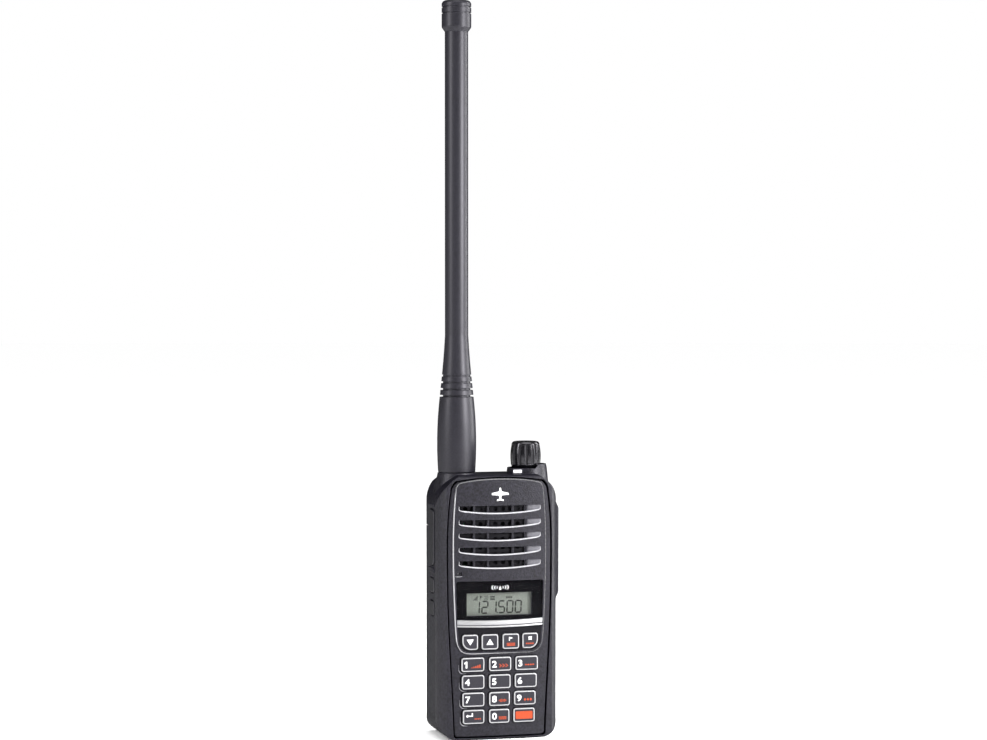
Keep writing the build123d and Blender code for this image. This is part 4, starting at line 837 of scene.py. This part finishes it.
def make_socket_rims():
    """The raised lower left edge of the sockets of the left-hand keys, pale with a painted highlight."""
    for key in ("1", "4", "7", "enter"):
        (left, right, bottom, top), _ = key_face(f"key_{key}")
        side, foot = left - SOCKET_GAP, bottom - SOCKET_GAP
        loop = rounded_loop((side, right, foot, top), (KEY_ROUNDING + SOCKET_GAP,) * 4)
        path = [(side, (bottom + top) / 2), *loop[:ARC_STEPS + 1], (left + SOCKET_REACH, foot)]
        bm = sweep(path, SOCKET_PROFILE, front_panel, SOCKET_TAPER)
        make_piece(f"key_{key}_socket", bm, LIP_PAINTED_HIGHLIGHT, "radio")


def make_function_key():
    """The function key's rim and the orange block on its face."""
    node = "key_function"
    make_ring(node, SMALL_CORNERS)
    (left, right, bottom, top), face = key_face(node)
    box = (left + BLOCK_INSET, right - BLOCK_INSET, bottom + BLOCK_INSET_Z, top - BLOCK_INSET_Z)
    block = rounded_loop(box, (BLOCK_ROUNDING,) * 4)
    make_piece(f"{node}_block", printed([block], flat_at(face)), ORANGE, node)


def make_arrow_key(key, roundings, up):
    """The down or up key: its rim and a triangle."""
    node = f"key_{key}"
    make_ring(node, roundings)
    (left, right, bottom, top), _ = key_face(node)
    box = moved(ARROW_BOX, (left + right) / 2, (bottom + top) / 2)
    print_on_key(f"{node}_arrow", triangle(up), box, node, WHITE)


def make_sign_key(key, roundings, sign):
    """The memory or clear key: its rim, a white sign and an orange mark."""
    node = f"key_{key}"
    make_ring(node, roundings)
    (left, right, bottom, top), _ = key_face(node)
    centre, middle = (left + right) / 2, (bottom + top) / 2
    print_on_key(f"{node}_sign", sign(), moved(SIGN_BOX, centre, middle), node, WHITE)
    print_on_key(f"{node}_mark", MARKS[key](), moved(TOP_MARK_BOX, centre, middle), node, ORANGE)


def make_top_keys():
    """The four keys under the display, of which the outer two have one large lower corner."""
    small, large = KEY_ROUNDING, BIG_ROUNDING
    make_arrow_key("down", (large, small, small, small), up=False)
    make_arrow_key("up", SMALL_CORNERS, up=True)
    make_sign_key("memory", SMALL_CORNERS, flag)
    make_sign_key("clear", (small, large, small, small), cross)


# ---------------------------------------------------------------- display and window

def segment(name):
    """One segment of a figure 1 wide and 2 high, as an outline with pointed ends."""
    first, last = (Vector(end) for end in SEGMENT_ENDS[name])
    along = (last - first).normalized() * SEGMENT_STROKE
    across = Vector((-along.y, along.x)) / 2
    first, last = first + along * SEGMENT_GAP, last - along * SEGMENT_GAP
    inner_first, inner_last = first + along / 2, last - along / 2
    lower = (first, inner_first - across, inner_last - across)
    upper = (last, inner_last + across, inner_first + across)
    return [tuple(point) for point in lower + upper]


def figure(digit, left, bottom):
    """A leaning seven-segment figure, as its lit segments."""
    shapes = []
    for name in SEGMENTS[digit]:
        shapes.append([(left + x * FIGURE_WIDTH + z * SEGMENT_LEAN, bottom + z * FIGURE_WIDTH)
                       for x, z in segment(name)])
    return shapes


def frequency_shapes(left, bottom):
    """The display's figures and its decimal point."""
    shapes = []
    for character in FREQUENCY:
        if character == ".":
            shapes.append(bar(*moved(POINT_BOX, left, bottom)))
        else:
            shapes.extend(figure(character, left, bottom))
            left += FIGURE_PITCH
    return shapes


def make_display():
    """Dark segments and simple signs on the display."""
    low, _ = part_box("lcd_glass")
    shapes = frequency_shapes(LCD_SPAN[0] + FIGURES_LEFT, LCD_LEVELS[0] + FIGURES_BOTTOM)
    for sign, left, right in LCD_SIGNS:
        shapes += placed(sign(), (left, right, LCD_LEVELS[1] - SIGNS_BOTTOM, LCD_LEVELS[1] - SIGNS_TOP))
    make_piece("lcd_segments", printed(shapes, flat_at(low.y / MM)), LCD_INK, "radio")


def add_curved_plate(bm, left, right, bottom, top):
    """One band of the window's print, following the curved front."""
    loops = []
    for step in range(PLATE_STEPS + 1):
        x = left + (right - left) * step / PLATE_STEPS
        near, far = (front_of_case(x, top) + depth for depth in WINDOW_PRINT_DEPTHS)
        loops.append([(x, near, bottom), (x, near, top), (x, far, top), (x, far, bottom)])
    add_skin(bm, loops, closed=False)


def make_window_print():
    """The black print behind the window, open over the display."""
    low, high = (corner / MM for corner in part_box("display_window"))
    inner_left, inner_right = LCD_SPAN
    inner_bottom, inner_top = LCD_LEVELS
    bm = bmesh.new()
    add_curved_plate(bm, low.x, inner_left, low.z, high.z)
    add_curved_plate(bm, inner_right, high.x, low.z, high.z)
    add_curved_plate(bm, inner_left, inner_right, low.z, inner_bottom)
    add_curved_plate(bm, inner_left, inner_right, inner_top, high.z)
    make_piece("window_print", bm, BLACK_PRINT, "radio")


def wave(side, reach):
    """An arc of the window sign, to the left (-1) or right (1) of its mast."""
    turns = [math.radians(WAVE_TURN * (2 * step / ARC_STEPS - 1)) for step in range(ARC_STEPS + 1)]
    levels = [WAVE_Z + reach * WAVE_FLATNESS * math.sin(turn) for turn in turns]
    outer = [(side * reach * math.cos(turn), z) for turn, z in zip(turns, levels)]
    inner = [(side * (reach - WAVE_STROKE) * math.cos(turn), z) for turn, z in zip(turns, levels)]
    return outer + inner[::-1]


def make_window_sign():
    """A small radio mast with waves, above the display."""
    waves = [wave(side, reach) for side in (-1, 1) for reach in WAVE_REACHES]
    bm = printed(placed(triangle(True), MAST_BOX) + waves, front_of_window)
    make_piece("window_sign", bm, WHITE, "radio")


# ---------------------------------------------------------------- front panel

def slot_edge(top, x):
    """The height of a slot's lower edge at x."""
    sag = SLOT_MIDDLE_DROP - SLOT_END_DROP
    radius = (SLOT_HALF ** 2 + sag ** 2) / (2 * sag)
    return top - SLOT_MIDDLE_DROP + radius - math.sqrt(radius ** 2 - x ** 2)


def lip_path(top):
    """A slot's lower edge from end to end, with its ends turned up."""
    xs = [SLOT_HALF * (2 * step / LIP_STEPS - 1) for step in range(LIP_STEPS + 1)]
    low = [(x, slot_edge(top, x)) for x in xs]
    rise = SLOT_END_DROP - LIP_END_GAP
    left = [(-SLOT_HALF, top - SLOT_END_DROP + rise * share) for share in LIP_END_SHARES]
    right = [(-x, z) for x, z in reversed(left)]
    return left + low[1:-1] + right


def make_slot_lips():
    """The rounded lower edge of each speaker slot, pale with a painted highlight."""
    for number, top in enumerate(SLOT_TOPS, start=1):
        bm = sweep(lip_path(top), LIP_PROFILE, front_of_case, LIP_TAPER)
        make_piece(f"slot_lip_painted_highlight_{number}", bm, LIP_PAINTED_HIGHLIGHT, "radio")


def make_microphone_lip():
    """The lower edge of the microphone slot, with a dimmer painted highlight than the speaker's."""
    left, right = MIC_SLOT
    path = [(left + (right - left) * step / MIC_STEPS, MIC_SLOT_Z) for step in range(MIC_STEPS + 1)]
    bm = sweep(path, LIP_PROFILE, front_of_case, MIC_TAPER)
    make_piece("microphone_lip", bm, DIM_LIP_HIGHLIGHT, "radio")


def make_slot_ramps():
    """A sloping floor at the right end of every slot, pale with painted light."""
    bm = bmesh.new()
    inner, outer = SLOT_HALF - RAMP_LENGTH, SLOT_HALF + RAMP_OVERLAP
    deep = front_of_case(inner, 0) + RAMP_DEEP
    shallow = front_of_case(outer, 0) + RAMP_SHALLOW
    for top in SLOT_TOPS:
        low = slot_edge(top, inner) - RAMP_OVERLAP
        near = [(inner, deep - RAMP_TOE, low), (outer, shallow, low), (outer, deep, low)]
        far = [(x, y, top + RAMP_HEADROOM) for x, y, _ in near]
        add_skin(bm, (near, far), closed=False)
    make_piece("slot_ramps", bm, RAMP_PAINTED_LIGHT, "radio")


def make_shield_rim():
    """The edge of the raised centre panel, all the way round, coloured as a painted highlight."""
    half = smooth_path(SHIELD_HALF)
    path = half[1:] + [(-x, z) for x, z in reversed(half[:-1])]
    make_piece("shield_rim", sweep(path, RIM_PROFILE, front_of_case, closed=True), RIM_PAINTED_HIGHLIGHT, "radio")


def make_strip():
    """The bright strip: a broad upper face, a groove filled with a dark sheet of painted shade, and a narrow
    lower face.
    """
    xs = [STRIP_HALF * (2 * step / LIP_STEPS - 1) for step in range(LIP_STEPS + 1)]
    path = [(x, STRIP_Z + STRIP_SAG * (x / STRIP_HALF) ** 2) for x in xs]
    plating = sweep(path, STRIP_PROFILE, front_of_case)
    strip = make_piece("strip_plating", plating, FINISHES["bright_trim"], "radio")
    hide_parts("trim_strip")
    make_piece("strip_groove_painted_shade", sweep(path, GROOVE_SHADE_PROFILE, front_of_case), GROOVE_PAINTED_SHADE, "radio")


def make_emblem():
    """A small aeroplane on the front, above the speaker."""
    bm = printed(placed(aeroplane(), EMBLEM_BOX), front_of_case)
    make_piece("front_emblem", bm, WHITE, "radio")


# ---------------------------------------------------------------- stage

def make_camera():
    """The camera, at the front left, about level with the middle of the antenna."""
    yaw = math.radians(CAMERA_YAW)
    data = bpy.data.cameras.new("camera")
    data.lens = LENS
    camera = bpy.data.objects.new("camera", data)
    sidestep = Vector((math.cos(yaw), -math.sin(yaw), 0)) * CAMERA_SIDESTEP
    back = Vector((-math.sin(yaw), -math.cos(yaw), 0)) * CAMERA_DISTANCE
    camera.location = back + sidestep + Vector((0, 0, CAMERA_HEIGHT))
    camera.rotation_euler = (math.radians(90 - CAMERA_PITCH), 0, -yaw)
    bpy.context.scene.collection.objects.link(camera)
    bpy.context.scene.camera = camera


def make_floor():
    """A pale, round floor just under the radio."""
    bm = bmesh.new()
    bmesh.ops.create_circle(bm, cap_ends=True, radius=FLOOR_RADIUS, segments=FLOOR_EDGES)
    mesh = bpy.data.meshes.new("floor")
    bm.to_mesh(mesh)
    bm.free()
    mesh.materials.append(ink("floor_paper", dark=grey(0.93, 1.0), light=grey(0.96, 1.0), gloss=(0.7, 0.8)))
    floor = bpy.data.objects.new("floor", mesh)
    floor.location.z = CAD_BOX[0].z - FLOOR_GAP
    bpy.context.scene.collection.objects.link(floor)


def make_softbox(name, place, target, size, power):
    """A rectangular softbox, aimed at a target."""
    data = bpy.data.lights.new(name, "AREA")
    data.shape = "RECTANGLE"
    data.size, data.size_y = size
    data.energy = power
    light = bpy.data.objects.new(name, data)
    light.location = place
    light.rotation_mode = "QUATERNION"
    light.rotation_quaternion = (Vector(target) - Vector(place)).to_track_quat("-Z", "Y")
    bpy.context.scene.collection.objects.link(light)


def make_overhead():
    """A broad, soft light from above, a little to the front."""
    data = bpy.data.lights.new("overhead", "SUN")
    data.energy = SUN_POWER
    data.angle = math.radians(SUN_SPREAD)
    light = bpy.data.objects.new("overhead", data)
    light.rotation_euler = (math.radians(SUN_TILT), 0, 0)
    bpy.context.scene.collection.objects.link(light)


def make_surround():
    """A white surround that looks full white, but lights the radio less."""
    world = bpy.data.worlds.new("surround")
    world.use_nodes = True
    tree = world.node_tree
    background = tree.nodes["Background"]
    background.inputs["Color"].default_value = (1, 1, 1, 1)
    rays = tree.nodes.new("ShaderNodeLightPath")
    strength = tree.nodes.new("ShaderNodeMapRange")
    strength.inputs["To Min"].default_value = SURROUND_LIGHT
    strength.inputs["To Max"].default_value = 1.0
    tree.links.new(rays.outputs["Is Camera Ray"], strength.inputs["Value"])
    tree.links.new(strength.outputs["Result"], background.inputs["Strength"])
    bpy.context.scene.world = world
    bpy.context.scene.view_settings.view_transform = "Standard"


def make_lights():
    """Three softboxes aimed at the radio's middle, a small one at its right front, and the overhead light."""
    low, high = CAD_BOX
    for name, (place, size, power) in SOFTBOXES.items():
        make_softbox(name, place, (low + high) / 2, size, power)
    make_softbox("front_softbox", FRONT_BOX_PLACE, FRONT_BOX_TARGET, FRONT_BOX_SIZE, FRONT_BOX_POWER)
    make_overhead()


make_camera()
make_floor()
make_lights()
make_surround()
dress_nodes()
for digit in "1234567890":
    make_number_key(digit)
make_enter_key()
make_socket_rims()
make_function_key()
make_top_keys()
make_display()
make_window_print()
make_window_sign()
make_slot_lips()
make_microphone_lip()
make_slot_ramps()
make_shield_rim()
make_strip()
make_emblem()
